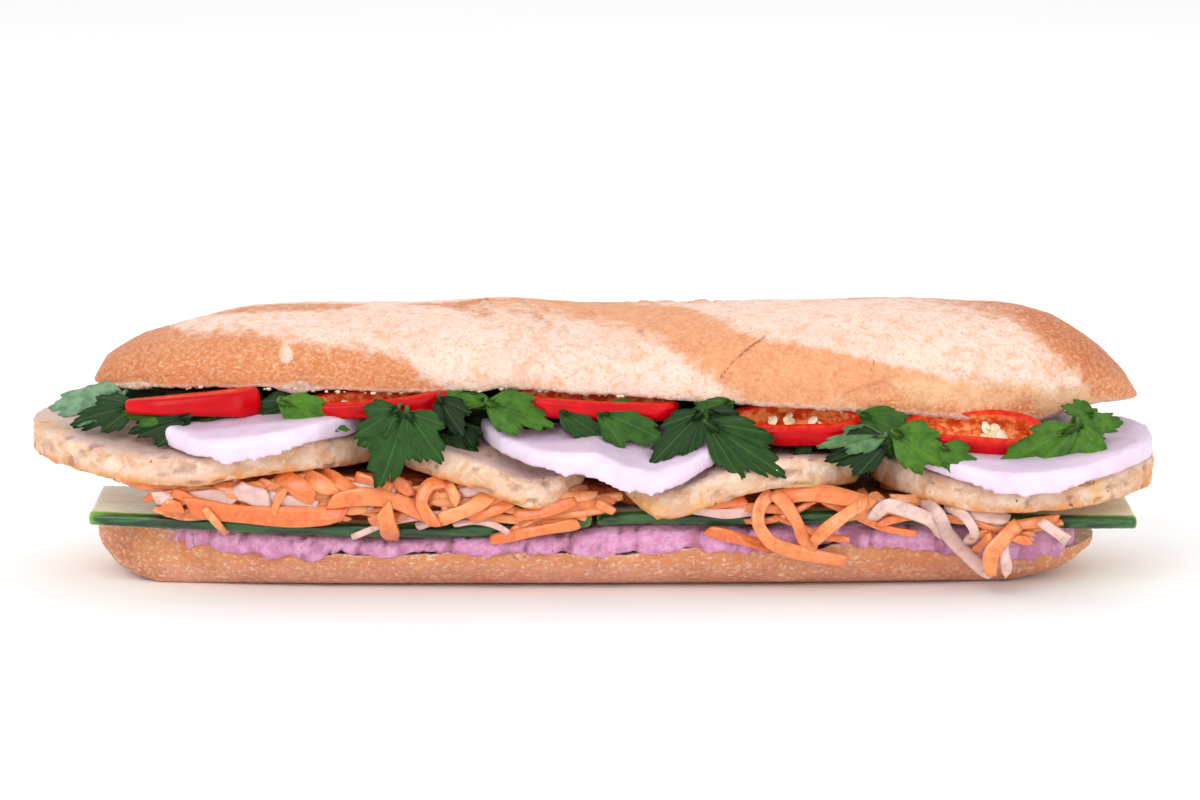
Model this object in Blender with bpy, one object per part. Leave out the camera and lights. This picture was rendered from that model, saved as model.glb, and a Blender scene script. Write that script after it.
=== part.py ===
"""Banh mi sandwich lying on its flat base, length along X, front toward -Y, Z up, metres."""

import math

import bpy

MM = 0.001
GAP = 0.45
HEAP_GAP = 1.0
SHRED_GAP = 0.75
PITCH = 7.0

BREAD_HALF_WIDTH = 30.5
BOTTOM_LEFT_X = -117.0
BOTTOM_RIGHT_X = 118.0
TOP_LEFT_X = -117.5
TOP_RIGHT_X = 128.0
CROWN_BULGE = 0.07

PATE_LEFT_X = -112.5
PATE_RIGHT_X = 112.0
CUCUMBER_THICK = 3.0
CUCUMBER_FRONT = -31.6
CUCUMBER_SPLIT = 4.2
MEAT_THICK = 7.5
MEAT_FRONT = -39.0
MEAT_DROOP_DEPTH = 17.0
HAM_THICK = 4.6
HAM_LIP = 3.4
CHILLI_THICK = 3.0
CHILLI_FRONT = -35.0
CHILLI_BACK = -21.5

# Height profiles along the length, as (x, height) pairs in millimetres.
BOTTOM_EDGE = [(-117, 11.2), (-112, 12.7), (-98, 13.0), (-90, 11.6), (-80, 9.6), (-66, 8.6),
               (-45, 9.0), (-22, 9.8), (2, 9.2), (25, 10.4), (50, 10.5), (71, 11.8),
               (91, 9.6), (108, 7.6), (118, 9.0)]
BOTTOM_KEEL = [(-117, 9.6), (-115.5, 7.2), (-112.8, 4.4), (-108, 1.7), (-101.5, 0.0),
               (98, 0.0), (105, 1.8), (110, 3.4), (115, 6.2), (118, 8.0)]
BASE_HALF_MIDDLE = 15.6
BASE_TAPER = 0.021
TOP_EDGE = [(-117.5, 45.6), (-103, 46.4), (-90, 47.2), (-68, 47.3), (-45, 46.9), (-18, 47.8),
            (6, 46.2), (25, 45.2), (47, 43.4), (62, 41.9), (82, 40.6), (95, 39.7),
            (105, 39.6), (110, 41.2), (116, 42.2), (128, 42.0)]
TOP_CROWN = [(-117.5, 48.4), (-115, 50.6), (-110, 53.7), (-98, 57.8), (-84, 61.4), (-72, 62.1),
             (-36, 62.6), (-22, 63.7), (0, 62.5), (25, 62.4), (48, 63.2), (68, 64.0),
             (86, 63.3), (97, 62.2), (108, 58.5), (117, 52.7), (124, 46.8), (128, 43.6)]
PATE_TOP = [(-117, 15.6), (-91, 14.5), (-68, 13.3), (-38, 12.6), (-17, 13.5), (0, 15.0),
            (12, 15.9), (25, 15.6), (61, 15.9), (94, 15.1), (125, 14.6)]
MEAT_EDGE = [(-132, 30.6), (-122, 28.2), (-113, 26.6), (-98, 25.8), (-89, 26.0), (-78, 28.2),
             (-66, 29.4), (-52, 29.6), (-36, 27.6), (-22, 24.4), (-11, 23.4), (0, 24.4),
             (5, 21.8), (15, 19.0), (24, 20.4), (38, 25.0), (47, 26.0), (58, 25.2),
             (70, 22.8), (84, 20.1), (94, 19.5), (106, 20.2), (121, 21.8), (132, 25.4)]
MEAT_LEVEL = [(-132, 29.8), (-60, 29.2), (0, 26.6), (40, 25.4), (84, 22.6), (98, 21.9), (132, 22.8)]
LEAF_BED = [(-128, 41.0), (-100, 42.8), (-78, 42.4), (-50, 41.9), (-20, 42.0), (0, 41.6),
            (20, 41.6), (31, 38.6), (45, 36.0), (62, 36.0), (72, 35.0), (88, 32.8),
            (103, 33.0), (128, 34.2)]

# Pieces of one layer, as (left x, right x, front y, back y, outline power).
MEAT_SLICES = [(-131.5, -46.4, -39.2, 33.0, 2.5), (-45.8, 0.5, -39.2, 33.5, 3.2),
               (1.3, 62.9, -39.2, 33.0, 3.0), (63.7, 131.5, -39.2, 33.5, 2.6)]
HAM_SLICES = [(-102.4, -53.4, -42.6, 15.0, 2.3), (-27.2, 34.4, -42.9, 16.5, 2.3),
              (70.0, 130.2, -42.6, 17.5, 2.3)]
CHILLI_SLICES = [(-108.0, -78.2, -33.5, -22.5, 2.2), (-67.4, -33.6, -34.0, -22.5, 2.3),
                 (-19.2, 19.2, -34.5, -22.5, 2.2), (31.4, 62.4, -35.0, -21.5, 2.1),
                 (72.0, 103.6, -36.0, -22.5, 2.6)]
# Tufts that hang over the front, as (centre x, half width, lowest height).
LEAF_TUFTS = [(-44.5, 12, 27.0), (54, 12, 29.5)]
SHRED_TUFTS = [(-95, 9, 17.5), (-57, 7, 12.0), (-40, 7, 13.5), (-14, 11, 10.5), (42, 8, 10.5),
               (56, 6, 8.0), (72, 7, 12.0), (95, 10, 4.5), (106, 4, 13.0)]


def clear_scene():
    for obj in list(bpy.data.objects):
        bpy.data.objects.remove(obj, do_unlink=True)


def curve(points, x):
    """Smooth height through the given stations."""
    if x <= points[0][0]:
        return points[0][1]
    if x >= points[-1][0]:
        return points[-1][1]
    k = 0
    while points[k + 1][0] < x:
        k += 1
    x0, z0 = points[k]
    x1, z1 = points[k + 1]
    before = points[max(k - 1, 0)]
    after = points[min(k + 2, len(points) - 1)]
    m0 = (z1 - before[1]) / (x1 - before[0])
    m1 = (after[1] - z0) / (after[0] - x0)
    d = x1 - x0
    t = (x - x0) / d
    t2 = t * t
    t3 = t2 * t
    a = 2 * t3 - 3 * t2 + 1
    b = t3 - 2 * t2 + t
    return a * z0 + b * d * m0 + (1 - a) * z1 + (t3 - t2) * d * m1


def level(points, x):
    """Straight runs between whole pitches of the curve, the same for every layer."""
    k = math.floor(x / PITCH)
    z0 = curve(points, k * PITCH)
    z1 = curve(points, (k + 1) * PITCH)
    return z0 + (z1 - z0) * (x / PITCH - k)


def ramp(t):
    return min(max(t, 0.0), 1.0)


def step(t):
    t = ramp(t)
    return t * t * (3 - 2 * t)


def lump(x, y, seed):
    """Uneven value between about -1 and 1."""
    a = math.sin(0.23 * x + 0.19 * y + 1.7 * seed)
    b = math.sin(0.41 * x - 0.33 * y + 2.9 * seed)
    c = math.sin(0.11 * x + 0.47 * y + 0.6 * seed)
    return (a + b + c) / 3


def rounded(x, left, right, power):
    """1 in the middle of a length, falling to 0 at both ends along a superellipse."""
    t = abs((x - 0.5 * (left + right)) / (0.5 * (right - left)))
    return max(1 - min(t, 1.0) ** power, 0.0) ** (1 / power)


# --- layer surfaces, heights in millimetres over the plane of rest ---

def bottom_cut(x, y):
    return level(BOTTOM_EDGE, x)


def pate_top(x, y):
    return level(PATE_TOP, x)


def cucumber_top(x, y):
    return pate_top(x, y) + GAP + CUCUMBER_THICK


def meat_bottom(x, y):
    front = level(MEAT_EDGE, x)
    middle = level(MEAT_LEVEL, x)
    droop = ramp((y - MEAT_FRONT) / MEAT_DROOP_DEPTH)
    return front + (middle - front) * droop - 2.0 * ramp((y - 18) / 18)


def meat_top(x, y):
    return meat_bottom(x, y) + MEAT_THICK


def leaf_bottom(x, y):
    ham = ramp((x + 112) / 7) * ramp((27 - y) / 6)
    left_dip = ramp((x + 49) / 7) * ramp((-35 - x) / 7)
    right_dip = ramp((x - 35) / 7) * ramp((63 - x) / 7)
    ham *= 1 - 0.75 * max(left_dip, right_dip)
    lift = 0.8 * ramp((-105 - x) / 7)
    return meat_top(x, y) + HEAP_GAP + lift + (HAM_THICK + GAP) * ham


def top_cut(x, y):
    return level(TOP_EDGE, x)


def chilli_bottom(x, y):
    front = level(LEAF_BED, x)
    back = level(TOP_EDGE, x) - CHILLI_THICK - GAP
    z = front + (back - front) * (y - CHILLI_FRONT) / (CHILLI_BACK - CHILLI_FRONT)
    return max(z, leaf_bottom(x, y) + 1.1)


def leaf_top(x, y):
    low = chilli_bottom(x, min(y, CHILLI_BACK)) - GAP - 0.35
    high = top_cut(x, y) - GAP
    low += (high - low) * max(ramp((x - 105) / 7), ramp((-112 - x) / 7))
    z = low + (high - low) * ramp((y - CHILLI_BACK) / 6)
    return max(min(z, high), leaf_bottom(x, y) + 0.3)


# --- mesh building ---

def material(name, color):
    mat = bpy.data.materials.new(name)
    mat.use_nodes = True
    mat.node_tree.nodes["Principled BSDF"].inputs["Base Color"].default_value = (*color, 1)
    return mat


def stations(left, right, near=(0.5, 1.6, 3.4)):
    """Whole pitches between both ends, with closer stations near the ends."""
    out = {left, right}
    for d in near:
        out.add(left + d)
        out.add(right - d)
    for k in range(math.floor(left / PITCH), math.ceil(right / PITCH) + 1):
        x = k * PITCH
        if left + near[-1] + 1 < x < right - near[-1] - 1:
            out.add(x)
        elif left < x < right:
            spare = [v for v in out if v not in (left, right) and abs(v - x) < 0.8]
            for v in spare:
                out.discard(v)
            out.add(x)
    return sorted(out)


def cap(loop):
    """Triangles between a loop's lower and upper run, from its front to its back."""
    ring = len(loop)
    depth = [p[1] for p in loop]
    front = depth.index(min(depth))
    back = depth.index(max(depth))
    lower = [(front + i) % ring for i in range((back - front) % ring + 1)]
    upper = [(front - i) % ring for i in range((front - back) % ring + 1)]
    i = 0
    j = 0
    out = []
    while i < len(lower) - 1 or j < len(upper) - 1:
        on_lower = j == len(upper) - 1
        if i < len(lower) - 1 and j < len(upper) - 1:
            on_lower = depth[lower[i + 1]] <= depth[upper[j + 1]]
        if on_lower:
            if lower[i + 1] != upper[j] and lower[i] != upper[j]:
                out.append((lower[i], lower[i + 1], upper[j]))
            i += 1
        else:
            if upper[j + 1] != lower[i] and lower[i] != upper[j]:
                out.append((lower[i], upper[j + 1], upper[j]))
            j += 1
    return out


def loft(name, xs, section, mat):
    """Closed body through one loop of points at each station, with flat end caps."""
    loops = [section(x) for x in xs]
    ring = len(loops[0])
    verts = [p for loop in loops for p in loop]
    faces = []
    for i in range(len(loops) - 1):
        for j in range(ring):
            k = (j + 1) % ring
            a, b, c, d = i * ring + j, i * ring + k, (i + 1) * ring + k, (i + 1) * ring + j
            if verts[b][1] >= verts[a][1]:
                faces += [(a, b, c), (a, c, d)]
            else:
                faces += [(a, b, d), (b, c, d)]
    for first, right in ((0, False), ((len(loops) - 1) * ring, True)):
        for a, b, c in cap(verts[first:first + ring]):
            order = (a, b, c) if right else (a, c, b)
            faces.append(tuple(first + k for k in order))
    mesh = bpy.data.meshes.new(name)
    mesh.from_pydata([(x * MM, y * MM, z * MM) for x, y, z in verts], [], faces)
    mesh.materials.append(mat)
    for poly in mesh.polygons:
        poly.use_smooth = True
    obj = bpy.data.objects.new(name, mesh)
    bpy.context.collection.objects.link(obj)
    return obj


def spread(front, back, breaks):
    """Depths from front to back through the breaks, kept in order on a short slab."""
    count = len(breaks) + 2
    least = 0.04 * (back - front)
    out = []
    for i, y in enumerate((front, *breaks, back)):
        out.append(min(max(y, front + least * i), back - least * (count - 1 - i)))
    return out


def slab_loop(x, front, back, low, high, breaks, round_front=1.2, round_back=1.2, lip=0.0,
              lip_depth=0.0):
    """Loop of a draped slab: underside front to back, rounded back, top back to front."""
    depth = back - front
    round_front = min(round_front, 0.2 * depth)
    round_back = min(round_back, 0.2 * depth)
    inner_front = front + max(round_front, min(lip_depth, 0.3 * depth))
    inner_back = back - round_back
    ys = spread(inner_front, inner_back, breaks)
    points = [(x, y, low(x, y)) for y in ys]
    zb = low(x, inner_back)
    zt = high(x, inner_back)
    points.append((x, back, zb + 0.3 * (zt - zb)))
    points.append((x, back - 0.1 * round_back, zb + 0.72 * (zt - zb)))
    ys[0] = front + round_front
    points += [(x, y, high(x, y)) for y in reversed(ys)]
    zb = low(x, inner_front)
    zt = high(x, front + round_front)
    points.append((x, front + 0.1 * round_front, zb + 0.72 * (zt - zb) - 0.5 * lip))
    points.append((x, front + 0.25 * round_front, zb + 0.2 * (zt - zb) - lip))
    return points


# --- bread ---

def bread_half_width(x, left, right, power=2.9):
    return BREAD_HALF_WIDTH * max(rounded(x, left, right, power), 0.14)


def bottom_section(x):
    width = bread_half_width(x, BOTTOM_LEFT_X - 0.4, BOTTOM_RIGHT_X + 0.4)
    base = min(BASE_HALF_MIDDLE - BASE_TAPER * x, 0.85 * width)
    keel = 0.0 if abs(x) < 97 else max(curve(BOTTOM_KEEL, x), 0.0)
    points = []
    for i in range(3):
        points.append((x, base * (i - 1), keel))
    for side in (1, -1):
        steps = range(1, 6) if side > 0 else range(5, 0, -1)
        arc = []
        for i in steps:
            a = 0.5 * math.pi * i / 5
            y = base + (width - base) * math.sin(a) ** 0.86
            edge = bottom_cut(x, width)
            z = keel + (edge - keel) * (1 - math.cos(a)) ** 1.06
            y += 0.35 * lump(x, side * z * 4, 3) * math.sin(2 * a)
            arc.append((x, side * y, z))
        if side > 0:
            points += arc
            for i in range(1, 4):
                y = width * (1 - 0.5 * i)
                points.append((x, y, bottom_cut(x, y)))
        else:
            points += arc
    return points


def top_section(x):
    width = bread_half_width(x, TOP_LEFT_X - 0.5, TOP_RIGHT_X + 0.5, 2.7)
    edge = top_cut(x, width)
    crown = curve(TOP_CROWN, x)
    points = []
    for i in range(1, 4):
        y = width * (0.5 * i - 1)
        points.append((x, y, top_cut(x, y)))
    count = 15
    for i in range(count):
        a = math.pi * (1 - i / (count - 1))
        c = -math.cos(a)
        s = max(math.sin(a), 0.0)
        bulge = 1 + CROWN_BULGE * abs(math.sin(2 * a))
        y = -math.copysign(abs(c) ** 0.84, c) * width * bulge
        z = edge + (crown - edge) * s ** 0.86
        z += 0.45 * lump(x, y, 5) * s
        points.append((x, -y, z))
    return points


# --- filling ---

def pate_section(x):
    width = bread_half_width(x, BOTTOM_LEFT_X - 0.4, BOTTOM_RIGHT_X + 0.4)
    end = rounded(x, PATE_LEFT_X - 0.3, PATE_RIGHT_X + 0.3, 5)
    front = -(width - 0.2 + 0.9 * lump(x, 0, 7)) * (0.55 + 0.45 * end)
    back = (width - 0.6 + 0.9 * lump(x, 9, 8)) * (0.55 + 0.45 * end)

    def low(px, y):
        return bottom_cut(px, y) + GAP

    def high(px, y):
        thick = pate_top(px, y) - low(px, y)
        return low(px, y) + thick * (0.45 + 0.55 * end)

    return slab_loop(x, front, back, low, high, (-12, 12), 0.9, 0.9)


def cucumber_section(left, right, front, back):
    def section(x):
        end = rounded(x, left - 0.1, right + 0.1, 9)
        middle = 0.5 * (front + back)
        f = middle + (front - middle) * (0.8 + 0.2 * end)
        b = middle + (back - middle) * (0.8 + 0.2 * end)

        def low(px, y):
            return pate_top(px, y) + GAP

        return slab_loop(x, f, b, low, cucumber_top, (), 0.7, 0.7)
    return section


def hang(tufts, x, start):
    """Lowest height of the hanging front at x, from its rest height start."""
    low = start
    for centre, half, bottom in tufts:
        t = 1 - step((abs(x - centre) - 0.45 * half) / (0.65 * half))
        low = min(low, start + (bottom - start) * t)
    return low


def shred_section(x):
    """Pickled carrot and daikon out to the uneven outline of the heap."""
    size = 0.55 + 0.45 * min(ramp((x + 115.5) / 10.5), ramp((120.5 - x) / 7)) ** 0.6
    front = (-34.3 - 0.9 * lump(x, 0, 1)) * size
    inner = max(-32.3 * size, front + 1.0)
    back = (29.5 + 1.2 * lump(x, 4, 2)) * size
    shelf = cucumber_top(x, -31) + GAP
    low = hang(SHRED_TUFTS, x, shelf)
    points = [(x, front + 0.6, low), (x, inner, low + 0.1), (x, inner + 0.1, shelf + 0.02)]
    for y in spread(inner + 1.2, back - 0.8, (0,)):
        points.append((x, y, cucumber_top(x, y) + GAP))
    points.append((x, back, 0.5 * (cucumber_top(x, back) + meat_bottom(x, back))))
    for y in reversed(spread(front + 1.2, back - 0.8, (-22, 18))):
        points.append((x, y, meat_bottom(x, y) - SHRED_GAP))
    roof = meat_bottom(x, front + 1.2) - SHRED_GAP
    points.append((x, front + 0.2, roof - 0.25 * (roof - low)))
    points.append((x, front - 0.4 * lump(x, 8, 4), low + 0.35 * (roof - low)))
    return points


def disc_section(piece, low, high, breaks, lip, edge, lip_depth):
    left, right, front, back, power = piece

    def section(x):
        size = max(rounded(x, left - 0.1, right + 0.1, power), 0.10)
        middle = 0.5 * (front + back)
        f = middle + (front - middle) * size
        b = middle + (back - middle) * size
        near = ramp((-40.6 - f) / 1.6)
        return slab_loop(x, f, b, low, high, breaks, edge, edge, lip * near, lip_depth * near)
    return section


def ham_low(x, y):
    return meat_top(x, y) + GAP


def ham_high(x, y):
    return meat_top(x, y) + GAP + HAM_THICK - 1.9 * ramp((-36 - y) / 6.5)


def chilli_high(x, y):
    return chilli_bottom(x, y) + CHILLI_THICK


def leaf_section(x):
    """Coriander out to the uneven outline of its bed."""
    end = rounded(x, -130.5, 129.5, 3.2)
    size = 0.30 + 0.70 * end
    reach = -37.2 - 0.8 * lump(x, 0, 11)
    tuft = step((39 - hang(LEAF_TUFTS, x, 39)) / 3)
    front = (reach - 5.6 * tuft) * size
    inner = max((-36.0 - 4.0 * tuft) * size, front + 1.0)
    low = hang(LEAF_TUFTS, x, leaf_bottom(x, front + 0.6))
    back = (29.0 + 1.2 * lump(x, 2, 12)) * size
    points = [(x, front + 0.6, low), (x, inner, low + 0.05 + 0.15 * tuft),
              (x, inner + 0.1, max(low + 0.1, leaf_bottom(x, inner) + 0.05))]
    for y in spread(inner + 1.2, back - 0.8, (-22, 18, 21, 27)):
        points.append((x, y, leaf_bottom(x, y)))
    points.append((x, back, 0.5 * (leaf_bottom(x, back) + leaf_top(x, back))))
    for y in reversed(spread(front + 1.2, back - 0.8, (-35, -28, CHILLI_BACK, -15.5, 21))):
        points.append((x, y, leaf_top(x, y)))
    points.append((x, front, low + 0.5 * (leaf_top(x, front + 1.2) - low)))
    return points


def build():
    crust = material("crust", (0.72, 0.40, 0.20))
    pate = material("pate", (0.68, 0.30, 0.47))
    cucumber = material("cucumber", (0.45, 0.55, 0.30))
    pickle = material("pickle", (0.80, 0.35, 0.14))
    meat = material("meat", (0.78, 0.52, 0.40))
    ham = material("ham", (0.87, 0.76, 0.89))
    chilli = material("chilli", (0.62, 0.01, 0.01))
    leaf = material("leaf", (0.05, 0.14, 0.05))
    made = []
    xs = stations(BOTTOM_LEFT_X, BOTTOM_RIGHT_X)
    made.append(loft("bread_bottom", xs, bottom_section, crust))
    xs = stations(TOP_LEFT_X, TOP_RIGHT_X)
    made.append(loft("bread_top", xs, top_section, crust))
    xs = stations(PATE_LEFT_X, PATE_RIGHT_X)
    made.append(loft("pate_spread", xs, pate_section, pate))
    rows = (("front", CUCUMBER_FRONT, CUCUMBER_SPLIT, -116.6, 125.6),
            ("back", CUCUMBER_SPLIT + 0.8, 29.2, -106.5, 108.0))
    for row, front, back, far_left, far_right in rows:
        for number, left, right in ((1, far_left, -0.4), (2, 0.9, far_right)):
            section = cucumber_section(left, right, front, back)
            xs = stations(left, right, (1.2,))
            made.append(loft(f"cucumber_{row}_{number}", xs, section, cucumber))
    made.append(loft("pickled_shreds", stations(-115, 118.5), shred_section, pickle))
    for number, piece in enumerate(MEAT_SLICES, 1):
        section = disc_section(piece, meat_bottom, meat_top, (-22, 18), 0.0, 1.3, 0.0)
        xs = stations(piece[0], piece[1])
        made.append(loft(f"meat_slice_{number}", xs, section, meat))
    for number, piece in enumerate(HAM_SLICES, 1):
        section = disc_section(piece, ham_low, ham_high, (-36, -22), HAM_LIP, 1.0, 3.2)
        xs = stations(piece[0], piece[1])
        made.append(loft(f"ham_slice_{number}", xs, section, ham))
    made.append(loft("coriander", stations(-128, 127), leaf_section, leaf))
    for number, piece in enumerate(CHILLI_SLICES, 1):
        section = disc_section(piece, chilli_bottom, chilli_high, (-28,), 0.0, 0.8, 0.0)
        xs = stations(piece[0], piece[1], (0.5, 2.0))
        made.append(loft(f"chilli_slice_{number}", xs, section, chilli))
    return made


def centre(made):
    """Puts the middle of the footprint on the origin and the base on Z = 0."""
    points = [v.co for obj in made for v in obj.data.vertices]
    dx = 0.5 * (min(p.x for p in points) + max(p.x for p in points))
    dy = 0.5 * (min(p.y for p in points) + max(p.y for p in points))
    dz = min(p.z for p in points)
    for obj in made:
        for v in obj.data.vertices:
            v.co.x -= dx
            v.co.y -= dy
            v.co.z -= dz
    return dx, dy, dz


clear_scene()
centre(build())
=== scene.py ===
"""Banh mi sandwich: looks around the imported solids. Lengths inside are millimetres in loaf
coordinates, whose Y zero is the loaf's middle; MM and SHIFT turn them into the model's own metres."""

import math

import bpy
import numpy as np
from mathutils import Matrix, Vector
from mathutils.bvhtree import BVHTree


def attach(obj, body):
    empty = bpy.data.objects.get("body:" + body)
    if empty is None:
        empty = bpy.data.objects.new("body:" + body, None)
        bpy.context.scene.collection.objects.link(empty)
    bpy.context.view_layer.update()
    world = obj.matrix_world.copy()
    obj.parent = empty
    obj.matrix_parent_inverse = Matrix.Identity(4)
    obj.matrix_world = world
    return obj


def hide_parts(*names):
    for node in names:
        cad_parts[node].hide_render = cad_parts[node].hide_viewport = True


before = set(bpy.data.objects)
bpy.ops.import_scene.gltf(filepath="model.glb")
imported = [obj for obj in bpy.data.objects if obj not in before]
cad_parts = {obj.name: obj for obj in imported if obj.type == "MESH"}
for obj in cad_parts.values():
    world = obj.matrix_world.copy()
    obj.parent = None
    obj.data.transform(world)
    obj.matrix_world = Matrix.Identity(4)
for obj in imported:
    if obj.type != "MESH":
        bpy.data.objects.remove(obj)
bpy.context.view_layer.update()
MM = 0.001
SHIFT = np.array([0.0, 4.813, 0.0])
RNG = np.random.default_rng(11)
BREAD_HALF = 30.5       # half the width of the bread
TOP_BLUNT = 2.7         # how blunt the bread halves' ends are, seen from above
LOW_BLUNT = 2.9
FRONT_LIMIT = -40.0     # nothing loose stands out much past this
VEIN_RAYS = 3.93        # sets how many main veins a leaf has
TWIG_RAYS = 11.8        # sets how many fine veins lie between them

# ---------------------------------------------------------------- camera geometry
CAM_DIST = 1200.0
CAM_ELEV = math.radians(10)
AIM = np.array([1.5, 0.0, 40.0])
FWD = np.array([0.0, math.cos(CAM_ELEV), -math.sin(CAM_ELEV)])
UP = np.array([0.0, math.sin(CAM_ELEV), math.cos(CAM_ELEV)])
EYE = AIM - CAM_DIST * FWD
SEEN_X0 = 1.53          # x and h, as used below, at the middle of the view
SEEN_H0 = 39.41


def seen(x, h, y):
    """Loaf point at depth y that lies at x along and h up in the main view, both in mm."""
    d = FWD + (x - SEEN_X0) / CAM_DIST * np.array([1.0, 0, 0]) + (h - SEEN_H0) / CAM_DIST * UP
    return EYE + d * (y - EYE[1]) / d[1]


def project(p):
    """Where loaf points lie in the main view: x along and h up."""
    q = p - EYE
    depth = q @ FWD
    return SEEN_X0 + CAM_DIST * q[:, 0] / depth, SEEN_H0 + CAM_DIST * (q @ UP) / depth


# ---------------------------------------------------------------- numbers and noise
def smooth(t):
    """An S-shaped step from 0 to 1."""
    t = np.clip(t, 0.0, 1.0)
    return t * t * (3 - 2 * t)


def lattice(i, seed):
    """A fixed scattered number from 0 to 1 for each whole-numbered cell."""
    h = (i[..., 0] * 374761393 + i[..., 1] * 668265263 + i[..., 2] * 1442695041
         + seed * 1274126177).astype(np.uint64)
    h = (h ^ (h >> np.uint64(15))) * np.uint64(2246822519)
    h = (h ^ (h >> np.uint64(13))) * np.uint64(3266489917)
    h = h ^ (h >> np.uint64(16))
    return (h & np.uint64(0xFFFFFF)).astype(np.float64) / float(0xFFFFFF)


def noise(p, cell, seed):
    """Smooth noise from -1 to 1 with the given cell size in mm; cell may differ by axis."""
    q = p / np.asarray(cell, dtype=float) + 31.7 * seed
    i = np.floor(q).astype(np.int64)
    f = q - i
    f = f * f * f * (f * (f * 6 - 15) + 10)
    out = np.zeros(len(p))
    for dx in (0, 1):
        for dy in (0, 1):
            for dz in (0, 1):
                w = (f[:, 0] if dx else 1 - f[:, 0]) * (f[:, 1] if dy else 1 - f[:, 1])
                w = w * (f[:, 2] if dz else 1 - f[:, 2])
                out += w * lattice(i + np.array([dx, dy, dz]), seed)
    return out * 2 - 1


def fbm(p, cell, octaves, seed):
    """Noise with finer layers added, each half as large and half as strong."""
    out = np.zeros(len(p))
    total = 0.0
    size = np.asarray(cell, dtype=float)
    for k in range(octaves):
        share = 0.5 ** k
        out += share * noise(p, size * share, seed + k)
        total += share
    return out / total


def cells(p, cell, seed):
    """Distance to the nearest and second nearest scattered point, in cells, and its number."""
    q = p / np.asarray(cell, dtype=float) + 17.3 * seed
    i = np.floor(q).astype(np.int64)
    f1 = np.full(len(p), 9.0)
    f2 = np.full(len(p), 9.0)
    who = np.zeros(len(p))
    for dx in (-1, 0, 1):
        for dy in (-1, 0, 1):
            for dz in (-1, 0, 1):
                j = i + np.array([dx, dy, dz])
                c = np.stack([lattice(j, seed + s) for s in (1, 2, 3)], axis=1) + j
                d = np.linalg.norm(q - c, axis=1)
                closer = d < f1
                f2 = np.where(closer, f1, np.minimum(f2, d))
                who = np.where(closer, lattice(j, seed + 9), who)
                f1 = np.where(closer, d, f1)
    return f1, f2, who


def curve(points, x):
    """Smooth height through the given stations."""
    xs = np.array([p[0] for p in points], dtype=float)
    zs = np.array([p[1] for p in points], dtype=float)
    m = np.gradient(zs, xs)
    x = np.clip(x, xs[0], xs[-1])
    k = np.clip(np.searchsorted(xs, x) - 1, 0, len(xs) - 2)
    d = xs[k + 1] - xs[k]
    t = (x - xs[k]) / d
    a = 2 * t ** 3 - 3 * t ** 2 + 1
    b = t ** 3 - 2 * t ** 2 + t
    c = t ** 3 - t ** 2
    return a * zs[k] + b * d * m[k] + (1 - a) * zs[k + 1] + c * d * m[k + 1]


def line(x, *points):
    """Height of the straight lines through the points."""
    return np.interp(x, [p[0] for p in points], [p[1] for p in points])


def rounded(x, left, right, power):
    """Share of the full width at x, for a form with blunt ends at left and right."""
    t = np.abs((x - 0.5 * (left + right)) / (0.5 * (right - left)))
    return np.maximum(1 - np.minimum(t, 1.0) ** power, 0.0) ** (1 / power)


# ---------------------------------------------------------------- meshes
def normals_of(verts, faces):
    """Normals at the points of a mesh of quads."""
    n = np.zeros_like(verts)
    a, b, c, d = (verts[faces[:, k]] for k in range(4))
    cross = np.cross(b - a, c - a) + np.cross(c - a, d - a)
    for k in range(4):
        np.add.at(n, faces[:, k], cross)
    return n / np.maximum(np.linalg.norm(n, axis=1, keepdims=True), 1e-12)


def add_mesh(name, verts, faces, mat, masks, stands_for=()):
    """A smooth-shaded piece from points in loaf mm; each mask is a value for every point."""
    mesh = bpy.data.meshes.new(name)
    pts = (np.asarray(verts, dtype=float) + SHIFT) * MM
    mesh.from_pydata(pts.tolist(), [], [tuple(int(i) for i in f) for f in faces])
    mesh.materials.append(mat)
    mesh.polygons.foreach_set("use_smooth", [True] * len(mesh.polygons))
    for key, values in masks.items():
        made = mesh.attributes.new(key, "FLOAT", "POINT")
        made.data.foreach_set("value", np.asarray(values, dtype=np.float32))
    mesh.validate()
    mesh.update()
    obj = bpy.data.objects.new(name, mesh)
    bpy.context.collection.objects.link(obj)
    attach(obj, "root")
    if stands_for:
        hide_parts(*stands_for)


def grid_faces(rows, cols, wrap=True):
    """Quads between rows of points, each row a ring when wrap is set."""
    i = np.arange(rows - 1)[:, None]
    j = np.arange(cols if wrap else cols - 1)[None, :]
    k = (j + 1) % cols
    a = i * cols + j
    b = i * cols + k
    c = (i + 1) * cols + k
    d = (i + 1) * cols + j
    return np.stack([a, b, c, d], axis=-1).reshape(-1, 4)


def close_tube(rows, cols):
    """Faces of a tube of rings with a fan at each end; the two tips come last."""
    faces = [tuple(f) for f in grid_faces(rows, cols)]
    last = (rows - 1) * cols
    tip = rows * cols
    for j in range(cols):
        k = (j + 1) % cols
        faces.append((k, j, tip))
        faces.append((last + j, last + k, tip + 1))
    return faces


def lidded_tube(rows, cols):
    """Faces of a tube of rings with a flat lid at each end."""
    faces = [tuple(f) for f in grid_faces(rows, cols)]
    faces.append(tuple(range(cols))[::-1])
    faces.append(tuple((rows - 1) * cols + j for j in range(cols)))
    return faces


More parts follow.
